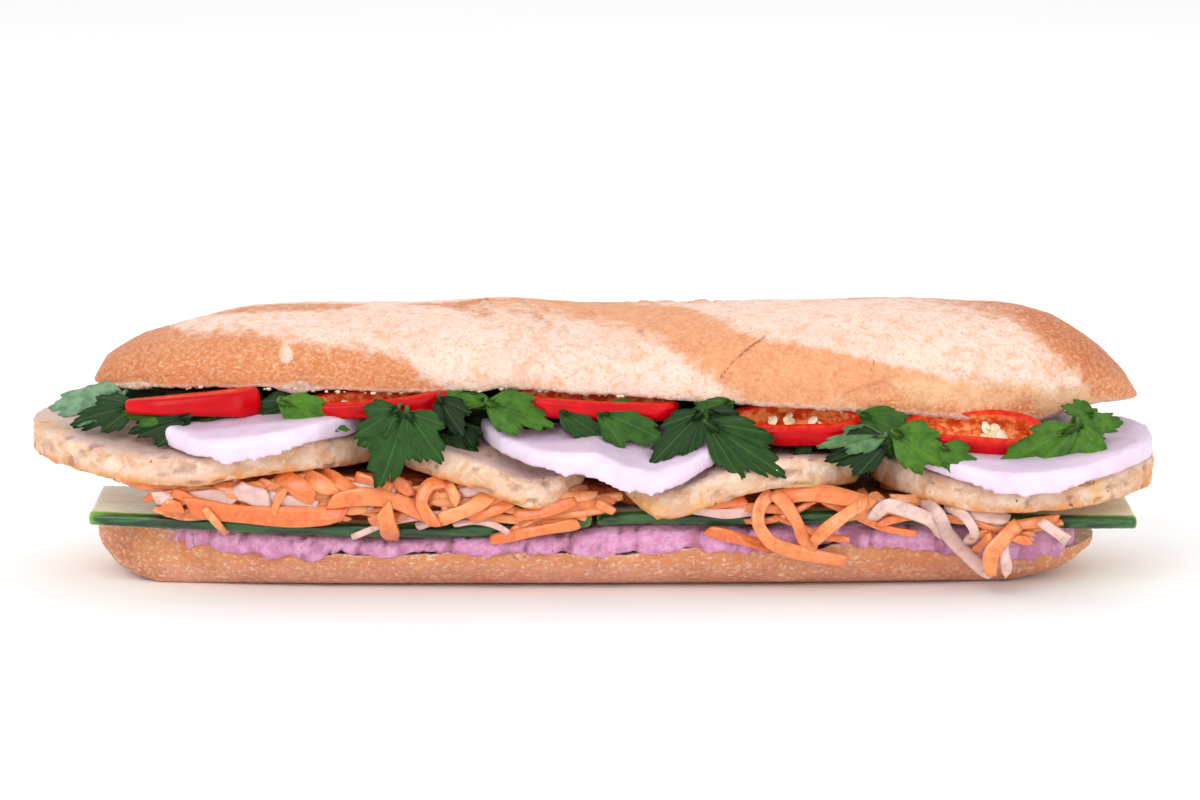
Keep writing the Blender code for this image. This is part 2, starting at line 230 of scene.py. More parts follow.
def relax(verts, faces, passes):
    """Evens out a mesh while it keeps its volume: each pass smooths, then swells back."""
    edges = np.concatenate([faces[:, [0, 1]], faces[:, [1, 2]], faces[:, [2, 3]], faces[:, [3, 0]]])
    edges = np.unique(np.sort(edges, axis=1), axis=0)
    degree = np.bincount(edges.ravel(), minlength=len(verts))[:, None]
    for amount in (0.60, -0.61) * passes:
        total = np.zeros_like(verts)
        np.add.at(total, edges[:, 0], verts[edges[:, 1]])
        np.add.at(total, edges[:, 1], verts[edges[:, 0]])
        verts = verts + amount * (total / degree - verts)
    return verts


def dense(node, voxel, passes):
    """A CAD node's form as an even, smooth mesh: points in loaf mm and quads."""
    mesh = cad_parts[node].data.copy()
    obj = bpy.data.objects.new("work", mesh)
    bpy.context.collection.objects.link(obj)
    weld = obj.modifiers.new("weld", "WELD")
    weld.merge_threshold = 0.00002
    re = obj.modifiers.new("re", "REMESH")
    re.mode = "VOXEL"
    re.voxel_size = voxel * MM
    graph = bpy.context.evaluated_depsgraph_get()
    graph.update()
    out = obj.evaluated_get(graph).to_mesh()
    verts = np.empty(len(out.vertices) * 3)
    out.vertices.foreach_get("co", verts)
    verts = verts.reshape(-1, 3) / MM - SHIFT
    faces = np.array([tuple(p.vertices) for p in out.polygons])
    obj.evaluated_get(graph).to_mesh_clear()
    bpy.data.objects.remove(obj, do_unlink=True)
    bpy.data.meshes.remove(mesh)
    return relax(verts, faces, passes), faces


def tree_of(*names):
    """Ray target made of CAD nodes, in loaf mm."""
    verts = []
    faces = []
    for name in names:
        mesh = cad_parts[name].data
        base = len(verts)
        verts += [Vector(v.co) / MM - Vector(SHIFT) for v in mesh.vertices]
        faces += [tuple(base + i for i in p.vertices) for p in mesh.polygons]
    return BVHTree.FromPolygons(verts, faces)


# ---------------------------------------------------------------- materials
class Nodes:
    """Small helper for a material's node tree."""

    def __init__(self, name, rough, spec, subsurface=0.0, radius=(1, 0.5, 0.3), scale=0.002,
                 coat=0.0, coat_rough=0.2):
        self.mat = bpy.data.materials.new(name)
        self.mat.use_nodes = True
        self.tree = self.mat.node_tree
        self.bsdf = self.tree.nodes["Principled BSDF"]
        b = self.bsdf.inputs
        b["Roughness"].default_value = rough
        b["Subsurface Weight"].default_value = subsurface
        b["Subsurface Radius"].default_value = radius
        b["Subsurface Scale"].default_value = scale
        b["Coat Weight"].default_value = coat
        b["Coat Roughness"].default_value = coat_rough
        b["Specular IOR Level"].default_value = spec
        self.coords = self.tree.nodes.new("ShaderNodeTexCoord").outputs["Object"]

    def node(self, kind, **inputs):
        """A new node; in the inputs' names, _ stands for a space."""
        n = self.tree.nodes.new(kind)
        for key, value in inputs.items():
            self.put(n.inputs[key.replace("_", " ")], value)
        return n

    def put(self, socket, value):
        """Links a node's output to the socket, or sets the socket to a value or colour."""
        if isinstance(value, bpy.types.NodeSocket):
            self.tree.links.new(value, socket)
        elif isinstance(value, (tuple, list)) and len(value) == 3 and socket.type == "RGBA":
            socket.default_value = (*value, 1)
        else:
            socket.default_value = value

    def mask(self, name):
        """The value that the mesh holds at each point under this name."""
        n = self.tree.nodes.new("ShaderNodeAttribute")
        n.attribute_name = name
        return n.outputs["Fac"]

    def noise(self, cell, detail, rough, distort=0.0, stretch=None):
        """Noise with the given cell size in mm."""
        where = self.coords
        if stretch:
            m = self.tree.nodes.new("ShaderNodeMapping")
            m.inputs["Scale"].default_value = stretch
            self.tree.links.new(self.coords, m.inputs["Vector"])
            where = m.outputs["Vector"]
        n = self.node("ShaderNodeTexNoise", Vector=where, Scale=1 / (cell * MM), Detail=detail,
                      Roughness=rough, Distortion=distort)
        return n.outputs["Fac"]

    def dots(self, cell):
        n = self.node("ShaderNodeTexVoronoi", Vector=self.coords, Scale=1 / (cell * MM))
        return n.outputs["Distance"]

    def range(self, value, low, high, to_low=0.0, to_high=1.0):
        """The value eased from low to high, as to_low to to_high."""
        n = self.node("ShaderNodeMapRange", Value=value)
        n.interpolation_type = "SMOOTHSTEP"
        n.inputs["From Min"].default_value = low
        n.inputs["From Max"].default_value = high
        n.inputs["To Min"].default_value = to_low
        n.inputs["To Max"].default_value = to_high
        return n.outputs["Result"]

    def mix(self, fac, a, b):
        n = self.tree.nodes.new("ShaderNodeMix")
        n.data_type = "RGBA"
        self.put(n.inputs[0], fac)
        self.put(n.inputs[6], a)
        self.put(n.inputs[7], b)
        return n.outputs[2]

    def math(self, op, a, b=0.0):
        n = self.tree.nodes.new("ShaderNodeMath")
        n.operation = op
        self.put(n.inputs[0], a)
        self.put(n.inputs[1], b)
        return n.outputs[0]

    def times(self, a, b):
        return self.math("MULTIPLY", a, b)

    def spread(self, color, tone, cell, detail, rough, low, high, share=1.0, **kind):
        """The colour with patches of tone, where noise lies above low to high."""
        return self.mix(self.range(self.noise(cell, detail, rough, **kind), low, high, 0, share),
                        color, tone)

    def tint(self, color, mask, share, tone):
        """The colour with a share of tone where the mask is set."""
        return self.mix(self.times(self.mask(mask), share), color, tone)

    def finish(self, color, bump=None, depth=0.1):
        """Sets the colour and a bump that is depth mm high, and gives the material."""
        self.put(self.bsdf.inputs["Base Color"], color)
        if bump is not None:
            n = self.node("ShaderNodeBump", Height=bump, Distance=depth * MM, Strength=1.0)
            self.tree.links.new(n.outputs["Normal"], self.bsdf.inputs["Normal"])
        return self.mat


def srgb(*channels):
    """A colour given as 0 to 255 in sRGB, as the linear values that shaders take."""
    return tuple(c / 255 / 12.92 if c < 11 else ((c / 255 + 0.055) / 1.055) ** 2.4 for c in channels)


def crust_material(name, base, tones, speck, dark, dot):
    """Crust coloured by masks: each of tones names a mask and its colour."""
    m = Nodes(name, rough=0.6, spec=0.3, subsurface=0.05, radius=(1, 0.6, 0.4), scale=0.001)
    grain = m.noise(1.0, 4, 0.62)
    fine = m.noise(0.4, 3, 0.6)
    mottle = m.noise(3.6, 5, 0.62)
    first = tones[0][1]
    color = m.spread(base, m.mix(0.35, base, first), 9.0, 5, 0.65, 0.44, 0.70, 0.75)
    color = m.mix(m.range(mottle, 0.48, 0.72, 0.0, 0.6), color, first)
    color = m.mix(m.range(grain, 0.50, 0.68, 0.0, 0.55), color, first)
    ragged = m.times(m.math("SUBTRACT", m.noise(2.6, 5, 0.7), 0.5), 1.5)
    for key, tone in tones:
        shade = m.mix(m.range(mottle, 0.38, 0.66, 0.0, 0.7), tone, m.mix(0.45, tone, dark))
        shade = m.mix(m.range(grain, 0.38, 0.58, 0.6, 0.0), shade, m.mix(0.55, tone, speck))
        amount = m.range(m.math("ADD", m.mask(key), ragged), 0.08, 0.92)
        color = m.mix(amount, color, shade)
    dots = m.range(m.noise(dot, 3, 0.6, stretch=(0.6, 1, 1)), 0.56, 0.64)
    color = m.mix(m.times(m.mask("speck"), dots), color, speck)
    pores = m.range(m.noise(0.7, 2, 0.5), 0.27, 0.36, 0.5, 0.0)
    color = m.mix(m.times(pores, m.mask("pores")), color, dark)
    color = m.mix(m.times(m.mask("dark"), m.range(grain, 0.30, 0.62)), color, dark)
    # painted shade in the flake's rim line, the pit and the net of fine cracks, in the dark tone
    color = m.tint(color, "groove", 0.6, dark)
    # the cracks: drawn a darker brown as painted shade, and sunk in the bump
    jag = m.times(m.math("SUBTRACT", m.noise(1.6, 3, 0.6), 0.5), 0.22)
    crack = m.range(m.math("ADD", m.mask("crack"), jag), 0.89, 0.96)
    color = m.mix(m.times(crack, 0.6), color, srgb(170, 92, 54))
    crumb = m.spread(srgb(236, 206, 190), srgb(206, 164, 140), 1.3, 4, 0.6, 0.35, 0.65)
    color = m.mix(m.mask("crumb"), color, crumb)
    bump = m.math("ADD", m.times(grain, 0.6), m.times(fine, 0.4))
    bump = m.math("SUBTRACT", bump, m.times(crack, 0.4))
    return m.finish(color, bump, 0.75)


# ---------------------------------------------------------------- bread
TOP_LEFT = -117.5
TOP_RIGHT = 128.0
TOP_EDGE = [(-117.5, 45.6), (-103, 46.4), (-90, 47.2), (-68, 47.3), (-45, 46.9), (-18, 47.8),
            (6, 46.2), (25, 45.2), (47, 43.4), (62, 41.9), (82, 40.6), (95, 39.7),
            (105, 39.6), (110, 41.2), (116, 42.2), (128, 42.0)]
TOP_CROWN = [(-117.5, 48.4), (-115, 50.6), (-110, 53.7), (-98, 57.8), (-84, 61.4), (-72, 62.1),
             (-36, 62.6), (-22, 63.7), (0, 62.5), (25, 62.4), (48, 63.2), (68, 64.0),
             (86, 63.5), (97, 62.9), (108, 60.1), (117, 54.6), (124, 48.3), (128, 43.8)]
LOW_LEFT = -117.0
LOW_RIGHT = 118.0
LOW_EDGE = [(-117, 11.2), (-112, 12.7), (-98, 13.0), (-90, 11.6), (-80, 9.6), (-66, 8.6),
            (-45, 9.0), (-22, 9.8), (2, 9.2), (25, 10.4), (50, 10.5), (71, 11.8),
            (91, 9.6), (108, 7.6), (118, 9.0)]
LOW_KEEL = [(-117, 9.6), (-115.5, 7.2), (-112.8, 4.4), (-108, 1.7), (-101.5, 0.0),
            (98, 0.0), (105, 1.8), (110, 3.4), (115, 6.2), (118, 8.0)]


def ends_spaced(left, right, count):
    """Stations along the loaf, closer together at its ends."""
    t = np.linspace(0, 1, count)
    return left + (right - left) * (0.8 * t + 0.2 * 0.5 * (1 - np.cos(np.pi * t)))


def both_faces(p, make):
    """A front view pattern, and the same pattern turned round for the back."""
    turned = p * np.array([-1.0, -1.0, 1.0])
    xf, hf = project(p)
    xb, hb = project(turned)
    w = smooth((p[:, 1] - 3) / 6)
    a = make(xf, hf, p)
    b = make(xb * 1.02 + 4, hb, turned)
    return {key: a[key] * (1 - w) + b[key] * w for key in a}


def soft(value, width):
    """0 where value is below 0 and 1 above it, blended over width."""
    return smooth(0.5 + value / width)


def stroke(x, h, points, width):
    """1 on a thin line through the points, falling to 0 at width to each side."""
    best = np.full(len(x), 99.0)
    for (x0, h0), (x1, h1) in zip(points, points[1:]):
        dx = x1 - x0
        dh = h1 - h0
        t = np.clip(((x - x0) * dx + (h - h0) * dh) / (dx * dx + dh * dh), 0, 1)
        best = np.minimum(best, np.hypot(x - x0 - t * dx, h - h0 - t * dh))
    return np.clip(1 - best / width, 0, 1)


def top_pattern(x, h, p):
    """Masks and relief of the top crust at x along and h up in the main view."""
    wander = 1.6 * fbm(p, 9, 3, 3)
    fine = fbm(p, 2.2, 3, 5)
    # broad areas: golden left end, tan band, yellow underside, golden tip, brown ridge
    left = soft(line(x, (-117, 62), (-103, 60), (-97, 55.5), (-81, 55.4), (-64, 52.4), (-50, 50.3),
                     (-43, 47.6), (-37, 43.5), (-30, 38)) - h + 1.6 * wander, 6.5)
    band = soft(line(x, (-20, 66), (24, 61), (33, 57.1), (40, 54.3), (56, 51.2), (68, 48.4),
                     (77, 46.5), (92, 41), (120, 32)) - h + wander, 4.0)
    band *= soft(h - line(x, (-26, 63.5), (-4, 60.5), (8, 57), (14, 54.8), (23, 47.7), (29, 44),
                          (34, 39.4), (40, 34)) + 1.6 * wander, 10.0)
    low = soft(line(x, (40, 30), (60, 41.5), (75, 44.5), (88, 44.0), (104, 42.0), (118, 43))
               - h + wander, 6.0)
    tip = soft(h - line(x, (70, 67), (86, 62.4), (98, 58.8), (107, 52.5), (114, 46.0), (118, 38))
               + 1.8 * wander, 12.0)
    ridge = soft(h - line(x, (-100, 61), (-87, 59.5), (-60, 60.8), (-50, 63), (-40, 61.2),
                          (-30, 60.6), (-24, 64)) + 0.4 * wander, 1.2) * soft(-22 - x, 6)
    gold = np.clip(np.maximum.reduce([left, tip, 0.75 * ridge]), 0, 1)
    # details: rips in the torn stretch, cracks, a flake and its rim, a chip, a pit, a streak
    torn = soft(h - line(x, (-32, 60), (-24, 57), (-14, 55.5), (-4, 57), (2, 62)) + wander, 3)
    torn *= soft(x + 30, 6) * soft(1 - x, 8)
    slant = np.sin((x * 0.55 + h * 1.5) * 1.35 + 3.5 * fine)
    rips = torn * smooth((slant - 0.45) / 0.5) * smooth((fbm(p, 4, 2, 9) + 0.25) / 0.4)
    crack = stroke(x + 0.6 * fine, h, [(40.5, 54.3), (35.8, 51.2), (33.4, 48.9), (29.9, 44.6)], 2.4)
    crack = np.maximum(crack, stroke(x + 0.5 * fine, h, [(66.4, 48.9), (65.4, 46), (64.8, 43)], 2.2))
    flake = soft(1 - np.hypot((x - 64.5) / 8.5, (h - 41.5 + 0.2 * (x - 64)) / 3.8), 0.12)
    rim = stroke(x, h, [(57, 38.5), (60, 41.5), (66, 43.6), (72, 45.4)], 0.7)
    chip = soft(1 - np.hypot((x + 72.8) / 1.7, (h - 50.5) / 2.1) + 0.2 * fine, 0.3)
    pit = soft(1 - np.hypot((x - 11) / 0.7, (h - 55.2) / 0.5), 0.5)
    streak = stroke(x, h, [(83, 46.8), (94, 42.8), (105, 39.0)], 2.2)
    # textures: blisters, a net of fine cracks and where the flour is whitest
    blister = smooth((fbm(p, 3.2, 2, 21) - 0.25) / 0.35)
    nearest, second, _ = cells(p, 2.6, 4)
    net = 1 - smooth((second - nearest) / 0.16)
    white = soft(1 - np.hypot((x + 9) / 13, (h - 50.5) / 6.5), 0.6)
    return {
        "tan": np.clip(np.maximum(band, 0.55 * flake) + 0.25 * torn, 0, 1),
        "yellow": np.clip(low * (1 - flake), 0, 1),
        "gold": np.clip(gold - 0.9 * chip, 0, 1),
        "dark": np.clip(0.85 * tip * soft(h - line(x, (86, 62), (104, 56.5), (117, 46)), 6)
                        + 0.45 * rips + 0.35 * streak + 0.35 * left * soft(-104 - x, 8)
                        + 0.4 * ridge * blister, 0, 1),
        "crack": crack,
        # painted shade: the flake's rim line, the pit and the net of fine cracks, to be darkened
        "groove": np.clip(0.5 * rim + pit + 0.35 * white * net + 0.6 * rips * net, 0, 1),
        "speck": np.clip(0.75 * left + 0.6 * tip + 0.35 * low + 0.25 * band, 0, 1),
        "pores": np.clip(1 - white, 0, 1) * (1 - 0.6 * left),
        "lift": (0.42 * np.maximum(band, 0.8 * left) - 0.6 * smooth((crack - 0.8) / 0.2)
                 - 0.4 * rim - 0.8 * pit + 0.7 * chip - 0.55 * rips + 0.35 * flake
                 - 0.28 * white * net + 0.16 * blister * (0.4 + gold) + 0.5 * tip * 0.4),
    }


def crumb_relief(p, seed):
    """Depth of the open crumb's large and small bubbles."""
    large = cells(p, 3.2, seed)[0]
    small = cells(p, 1.3, seed + 20)[0]
    return -1.1 * (1 - smooth(large / 0.55)) - 0.35 * (1 - smooth(small / 0.6)) + 0.3 * noise(p, 1.0, 8)


def capped(p, masks, left, right):
    """Adds a closed tube's two end points, with the masks' values beside them."""
    ends = {key: np.append(v, [v[0], v[-1]]) for key, v in masks.items()}
    return np.vstack([p, [left, right]]), ends


def bread_top(mat):
    """The top half: a domed crust over a flat cut face of open crumb."""
    count = 400
    xs = ends_spaced(TOP_LEFT + 0.05, TOP_RIGHT - 0.05, count)
    size = np.maximum(rounded(xs, TOP_LEFT, TOP_RIGHT, TOP_BLUNT), 0.02)
    width = BREAD_HALF * size
    edge = curve(TOP_EDGE, xs)
    close = np.sqrt(np.clip(np.minimum(xs - TOP_LEFT, TOP_RIGHT - xs) / 2.5, 0.02, 1))
    crown = edge + (curve(TOP_CROWN, xs) - edge) * close
    # each ring: the dome from front to back, then the cut face from back to front
    dome = 136
    phi = np.linspace(0, np.pi, dome)[None, :]
    c = np.cos(phi)
    s = np.sin(phi)
    flat = 44
    back = np.linspace(1, -1, flat + 2)[1:-1][None, :]
    y = np.concatenate([-np.sign(c) * np.abs(c) ** 0.84 * (1 + 0.07 * np.abs(np.sin(2 * phi)))
                        * width[:, None], back * width[:, None]], axis=1)
    z = np.concatenate([edge[:, None] + (crown - edge)[:, None] * s ** 0.86,
                        np.repeat(edge[:, None], flat, axis=1)], axis=1)
    x = np.repeat(xs[:, None], dome + flat, axis=1)
    p = np.stack([x, y, z], axis=-1).reshape(-1, 3)
    ring = dome + flat
    column = np.tile(np.arange(ring), count)
    on_dome = column < dome
    rise = np.concatenate([np.sin(phi)[0], np.zeros(flat)])[column]
    size_all = np.repeat(size, ring)
    masks = both_faces(p, top_pattern)
    n = normals_of(p, grid_faces(count, ring))
    # the cut edge wanders, with two tufts of crumb hanging from it
    low_edge = np.where(on_dome, np.exp(-rise * 14), 1.0)
    sag = 0.5 * noise(p * [1, 0.1, 0], 5.5, 31) + 0.35 * noise(p * [1, 0.1, 0], 1.5, 32)
    tuft = np.exp(-((p[:, 0] + 107) / 5.0) ** 2) + np.exp(-((p[:, 0] + 68) / 4.0) ** 2)
    sag = sag - tuft * (1.0 + 0.8 * noise(p, 1.2, 33))
    # the crust's relief
    fold = 0.45 * fbm(p, 14, 3, 2) + 0.16 * fbm(p, 2.4, 3, 6)
    lift = masks.pop("lift")
    out = (lift + fold) * np.where(on_dome, np.minimum(rise * 6, 1), 0) * np.minimum(size_all * 3, 1)
    p = p + n * out[:, None]
    p[:, 2] += sag * low_edge * size_all
    inner = np.abs(p[:, 1]) / np.maximum(np.repeat(width, ring), 0.1)
    relief = crumb_relief(p, 3) * smooth((1 - inner) * 12) * np.minimum(size_all * 2, 1)
    p[:, 2] += np.where(on_dome, 0, -relief)
    masks["crumb"] = np.where(on_dome, 1 - smooth((rise - 0.08 * tuft) / 0.05), 1.0)
    for key in ("dark", "groove", "crack", "speck", "pores"):
        masks[key] = np.where(on_dome, masks[key], 0)
    p, masks = capped(p, masks, (TOP_LEFT, 0, edge[0] + 0.2), (TOP_RIGHT, 0, edge[-1] + 0.2))
    faces = [f[::-1] for f in close_tube(count, ring)]
    add_mesh("bread_top_crust", p, faces, mat, masks, ("bread_top",))


def low_pattern(x, h, p):
    """Masks and relief of the lower crust at x along and h up in the main view."""
    fine = fbm(p, 2.0, 3, 45)
    broad = fbm(p, (22, 9, 9), 3, 41)
    specks = smooth((noise(p, (1.6, 0.8, 0.7), 47) - 0.28) / 0.25)
    crack = stroke(x + 0.6 * fine, h, [(1.0, 0.5), (0.2, 3.2), (-1.5, 5.2)], 2.0)
    crack = np.maximum(crack, stroke(x, h, [(-19.5, 3.0), (-17.5, 1.5), (-15.5, 2.8)], 1.8))
    flake = soft(1 - np.hypot((x + 0.5) / 3.2, (h - 3.4) / 1.8) + 0.25 * fine, 0.3)
    flake = np.maximum(flake, soft(1 - np.hypot((x + 17.5) / 2.4, (h - 2.4) / 1.1), 0.3))
    under = soft(-p[:, 2] + 0.9, 1.2)
    return {
        "pale": np.clip(0.1 + 0.3 * broad + 0.8 * flake, 0, 1),
        "pink": np.clip(0.25 * under + soft(1.0 - h, 4) * 0.5 + 0.5 * soft(-108 - x, 8), 0, 1),
        "dark": np.clip(0.32 + 0.5 * fbm(p, 7, 3, 44) + 0.2 * soft(-103 - x, 10), 0, 1),
        "crack": crack,
        "speck": np.clip(0.8 + 0.3 * fine, 0, 1),
        "pores": np.full(len(x), 0.6),
        "lift": 0.16 * specks + 0.4 * flake - 0.4 * smooth((crack - 0.8) / 0.2) + 0.1 * fine,
    }


def bread_bottom(mat):
    """The lower half: a flat base, curved sides and a flat cut face of open crumb."""
    count = 360
    xs = ends_spaced(LOW_LEFT + 0.05, LOW_RIGHT - 0.05, count)
    size = np.maximum(rounded(xs, LOW_LEFT, LOW_RIGHT, LOW_BLUNT), 0.03)
    width = BREAD_HALF * size
    base = np.minimum(15.6 - 0.021 * xs, 0.85 * width)
    keel = np.where(np.abs(xs) < 97, 0.0, np.maximum(curve(LOW_KEEL, xs), 0))
    edge = curve(LOW_EDGE, xs)
    # each ring: the base, the back side, the cut face, the front side
    side = 44
    a = np.linspace(0, 0.5 * np.pi, side)[None, :]
    out_y = base[:, None] + (width - base)[:, None] * np.sin(a) ** 0.86
    out_z = keel[:, None] + (edge - keel)[:, None] * (1 - np.cos(a)) ** 1.06
    flat = 16
    under = np.linspace(-1, 1, flat + 2)[1:-1][None, :] * base[:, None]
    top = 56
    over = np.linspace(1, -1, top + 2)[1:-1][None, :] * width[:, None]
    y = np.concatenate([under, out_y, over, -out_y[:, ::-1]], axis=1)
    z = np.concatenate([np.repeat(keel[:, None], flat, 1), out_z,
                        np.repeat(edge[:, None], top, 1), out_z[:, ::-1]], axis=1)
    ring = y.shape[1]
    p = np.stack([np.repeat(xs[:, None], ring, 1), y, z], axis=-1).reshape(-1, 3)
    column = np.tile(np.arange(ring), count)
    is_top = (column >= flat + side) & (column < flat + side + top)
    is_side = ((column >= flat) & (column < flat + side)) | (column >= flat + side + top)
    size_all = np.repeat(size, ring)
    masks = both_faces(p, low_pattern)
    n = normals_of(p, grid_faces(count, ring))
    near_floor = smooth((p[:, 2] - 0.4) / 1.5)
    lift = masks.pop("lift") + 0.35 * fbm(p, 12, 3, 51) + 0.12 * fbm(p, 2.2, 2, 52)
    p = p + n * (np.where(is_side, lift, 0) * near_floor * np.minimum(size_all * 3, 1))[:, None]
    sag = 0.5 * noise(p * [1, 0.1, 0], 5.0, 61) + 0.35 * noise(p * [1, 0.1, 0], 1.6, 62)
    height = np.maximum(np.repeat(edge - keel, ring), 0.1)
    tall = np.clip((p[:, 2] - np.repeat(keel, ring)) / height, 0, 1)
    p[:, 2] += sag * smooth((tall - 0.7) / 0.3) * size_all
    inner = np.abs(p[:, 1]) / np.maximum(np.repeat(width, ring), 0.1)
    relief = crumb_relief(p, 5) * smooth((1 - inner) * 12) * np.minimum(size_all * 2, 1)
    p[:, 2] += np.where(is_top, relief, 0)
    p[:, 2] = np.maximum(p[:, 2], 0.0)
    masks["crumb"] = np.where(is_top, 1.0, smooth((tall - 0.955) / 0.04))
    p, masks = capped(p, masks, (LOW_LEFT, 0, edge[0] - 0.3), (LOW_RIGHT, 0, edge[-1] - 0.3))
    add_mesh("bread_bottom_crust", p, close_tube(count, ring), mat, masks, ("bread_bottom",))


# ---------------------------------------------------------------- layers on the solids
def pate(mat):
    """The spread: lumpy, pitted, and hanging over the crust in ragged drips."""
    p, faces = dense("pate_spread", 0.95, 5)
    n = normals_of(p, faces)
    large = cells(p, (5.5, 5.5, 4.0), 12)[0]
    small = cells(p, (2.2, 2.2, 1.8), 14)[0]
    lumps = 0.9 * (0.55 - large) + 0.45 * (0.55 - small) + 0.25 * noise(p, 1.0, 15)
    pits = smooth((noise(p, 1.7, 16) - 0.45) / 0.2)
    front = smooth((np.abs(p[:, 1]) - 24) / 4)
    side = np.maximum(front, smooth((np.abs(p[:, 0]) - 104) / 4))
    lift = (lumps + 0.7 * fbm(p, 9, 2, 17) - 0.9 * pits) * (0.25 + 0.75 * side)
    p = p + n * (lift - 0.15)[:, None] * np.array([1, 1, 0.8])
    far = smooth((np.abs(p[:, 0]) - 55) / 25)
    ragged = noise(p, (4.0, 30, 30), 18) + 0.7 * noise(p, (1.7, 30, 30), 19)
    p[:, 2] -= smooth((0.2 - n[:, 2]) / 0.6) * (1.4 + 1.6 * far + 1.0 * ragged)
    out = smooth((np.hypot(n[:, 0], n[:, 1]) - 0.4) / 0.4) * (1.6 + 1.2 * far)
    p = p + n * [0.3, 1, 0] * out[:, None]
    # pit: painted shade in the pits and the creases between lumps
    masks = {"pit": np.clip(pits + smooth((large - 0.62) / 0.2), 0, 1)}
    add_mesh("pate", p, faces, mat, masks, ("pate_spread",))


def cucumber(node, mat):
    """A long slice: dark skin on its outer edge, a green rind, then pale flesh."""
    p, faces = dense(node, 0.9, 2)
    n = normals_of(p, faces)
    front = node.startswith("cucumber_front")
    edge = -31.6 if front else 29.2
    inward = (p[:, 1] - edge) if front else (edge - p[:, 1])
    wave = 0.25 * fbm(p, (30, 8, 8), 2, 23)
    p = p + n * (wave * 0.5 + 0.06 * noise(p, 1.4, 24))[:, None]
    skin = 1 - smooth((inward - 0.9 - 0.5 * fbm(p, 7, 2, 25)) / 0.9)
    rind = 1 - smooth((inward - 1.8 - 0.3 * fbm(p, 5, 2, 26)) / 1.2)
    core = smooth((inward - 10) / 6)
    masks = {"skin": skin, "rind": rind, "core": core}
    add_mesh(node + "_slice", p, faces, mat, masks, (node,))


def meat(node, mat, seed):
    """A pork slice: lumpy and holed at its rim, browned below, drooping at the middle."""
    p, faces = dense(node, 0.9, 12)
    n = normals_of(p, faces)
    large, _, grain = cells(p, (4.6, 3.4, 2.6), seed)
    small = cells(p, (1.9, 1.6, 1.4), seed + 5)[0]
    rim = smooth((np.abs(p[:, 1]) - 27) / 7)
    ends = smooth((np.abs(p[:, 0]) - 118) / 8)
    rough = np.maximum(rim, ends)
    lift = (0.7 * fbm(p, 7, 3, seed) + 0.7 * (0.5 - large) + 0.35 * (0.5 - small)
            + 0.25 * noise(p, 0.95, seed))
    holes = smooth((noise(p, (3.2, 2.2, 1.5), seed + 3) - 0.52) / 0.2)
    calm = 1 - 0.75 * smooth((np.abs(n[:, 2]) - 0.6) / 0.3)
    p = p + n * ((lift - 0.8 * holes) * (0.35 + 0.65 * rough) * calm - 0.2)[:, None]
    hang = 2.6 * np.exp(-((p[:, 0] - 14) / 9) ** 2) + 3.4 * np.exp(-((p[:, 0] + 12) / 10) ** 2)
    p[:, 2] -= hang * smooth((-p[:, 1] - 24) / 8)
    drop = np.interp(p[:, 0], *edge_line(p))
    masks = {
        "low": 1 - smooth((p[:, 2] - drop - 0.4 - 1.1 * fbm(p, 8, 2, seed + 7)) / 2.6),
        "grain": grain,
        # painted shade in the holes and the creases between lumps
        "hole": np.clip(holes + 0.6 * smooth((large - 0.7) / 0.2), 0, 1),
        "top": smooth((n[:, 2] - 0.55) / 0.3),
        "stain": smooth((fbm(p, (9, 9, 5), 3, seed + 11) - 0.22) / 0.25) * rough,
    }
    add_mesh(node + "_pork", p, faces, mat, masks, (node,))


def edge_line(p):
    """Lowest height of a slice's front and back rim, by its place along the loaf."""
    step = 3.0
    bins = np.arange(np.floor(p[:, 0].min()), p[:, 0].max() + step, step)
    which = np.clip(np.digitize(p[:, 0], bins) - 1, 0, len(bins) - 1)
    rim = np.abs(p[:, 1]) > 26
    lowest = np.full(len(bins), np.nan)
    for k in range(len(bins)):
        pick = p[(which == k) & rim, 2]
        if len(pick):
            lowest[k] = pick.min()
    fine = ~np.isnan(lowest)
    return bins[fine] + 0.5 * step, lowest[fine]


def ham(node, mat, seed):
    """A slice of pork roll: smooth, with a few pores; its flat faces are painted darker than the rim, a
    painted shade.
    """
    p, faces = dense(node, 0.75, 14)
    n = normals_of(p, faces)
    pore = 1 - smooth(cells(p, 3.4, seed)[0] / 0.16)
    lift = (0.28 * fbm(p, 13, 2, seed) + 0.07 * noise(p, 2.2, seed) + 0.04 * noise(p, 0.9, seed)
            - 0.25 * pore)
    p = p + n * (lift + 0.2)[:, None]
    p[:, 1] += 1.9 * np.sign(p[:, 1]) * smooth((np.abs(p[:, 1]) - 18) / 12)
    # face: the flat faces, painted darker than the rim as painted shade
    face = smooth((np.abs(n[:, 2]) - 0.72) / 0.18)
    masks = {"face": face, "pore": pore, "blush": smooth((fbm(p, 6, 3, seed + 2) + 0.3) / 0.8)}
    add_mesh(node + "_roll", p, faces, mat, masks, (node,))


def shrunk_core(name, node, inset, front, ends, mat, seed):
    """What fills a heap behind its loose pieces: the heap's solid, drawn in on all sides; its dark
    material is painted shade for the heap's inside.
    """
    p, faces = dense(node, 2.2, 2)
    n = normals_of(p, faces)
    p = p + n * (0.5 * fbm(p, 5, 2, seed) - inset)[:, None]
    p[:, 1] = np.clip(p[:, 1], front + 0.6 * noise(p, 4, seed + 1), 19 + 2 * noise(p, 6, seed + 3))
    p[:, 0] = np.clip(p[:, 0], -ends - noise(p, 5, seed + 2), ends + noise(p, 5, seed + 2))
    add_mesh(name, p, faces, mat, {})


# ---------------------------------------------------------------- pickled strips
def path_through(pts, count):
    """A smooth path through the points, evenly spaced."""
    if len(pts) == 2:
        pts = np.vstack([pts[0], 0.5 * (pts[0] + pts[1]), pts[1]])
    k = np.concatenate([[0], np.cumsum(np.linalg.norm(np.diff(pts, axis=0), axis=1))])
    t = np.linspace(0, k[-1], count)
    return np.stack([curve(list(zip(k, pts[:, i])), t) for i in range(3)], axis=1)


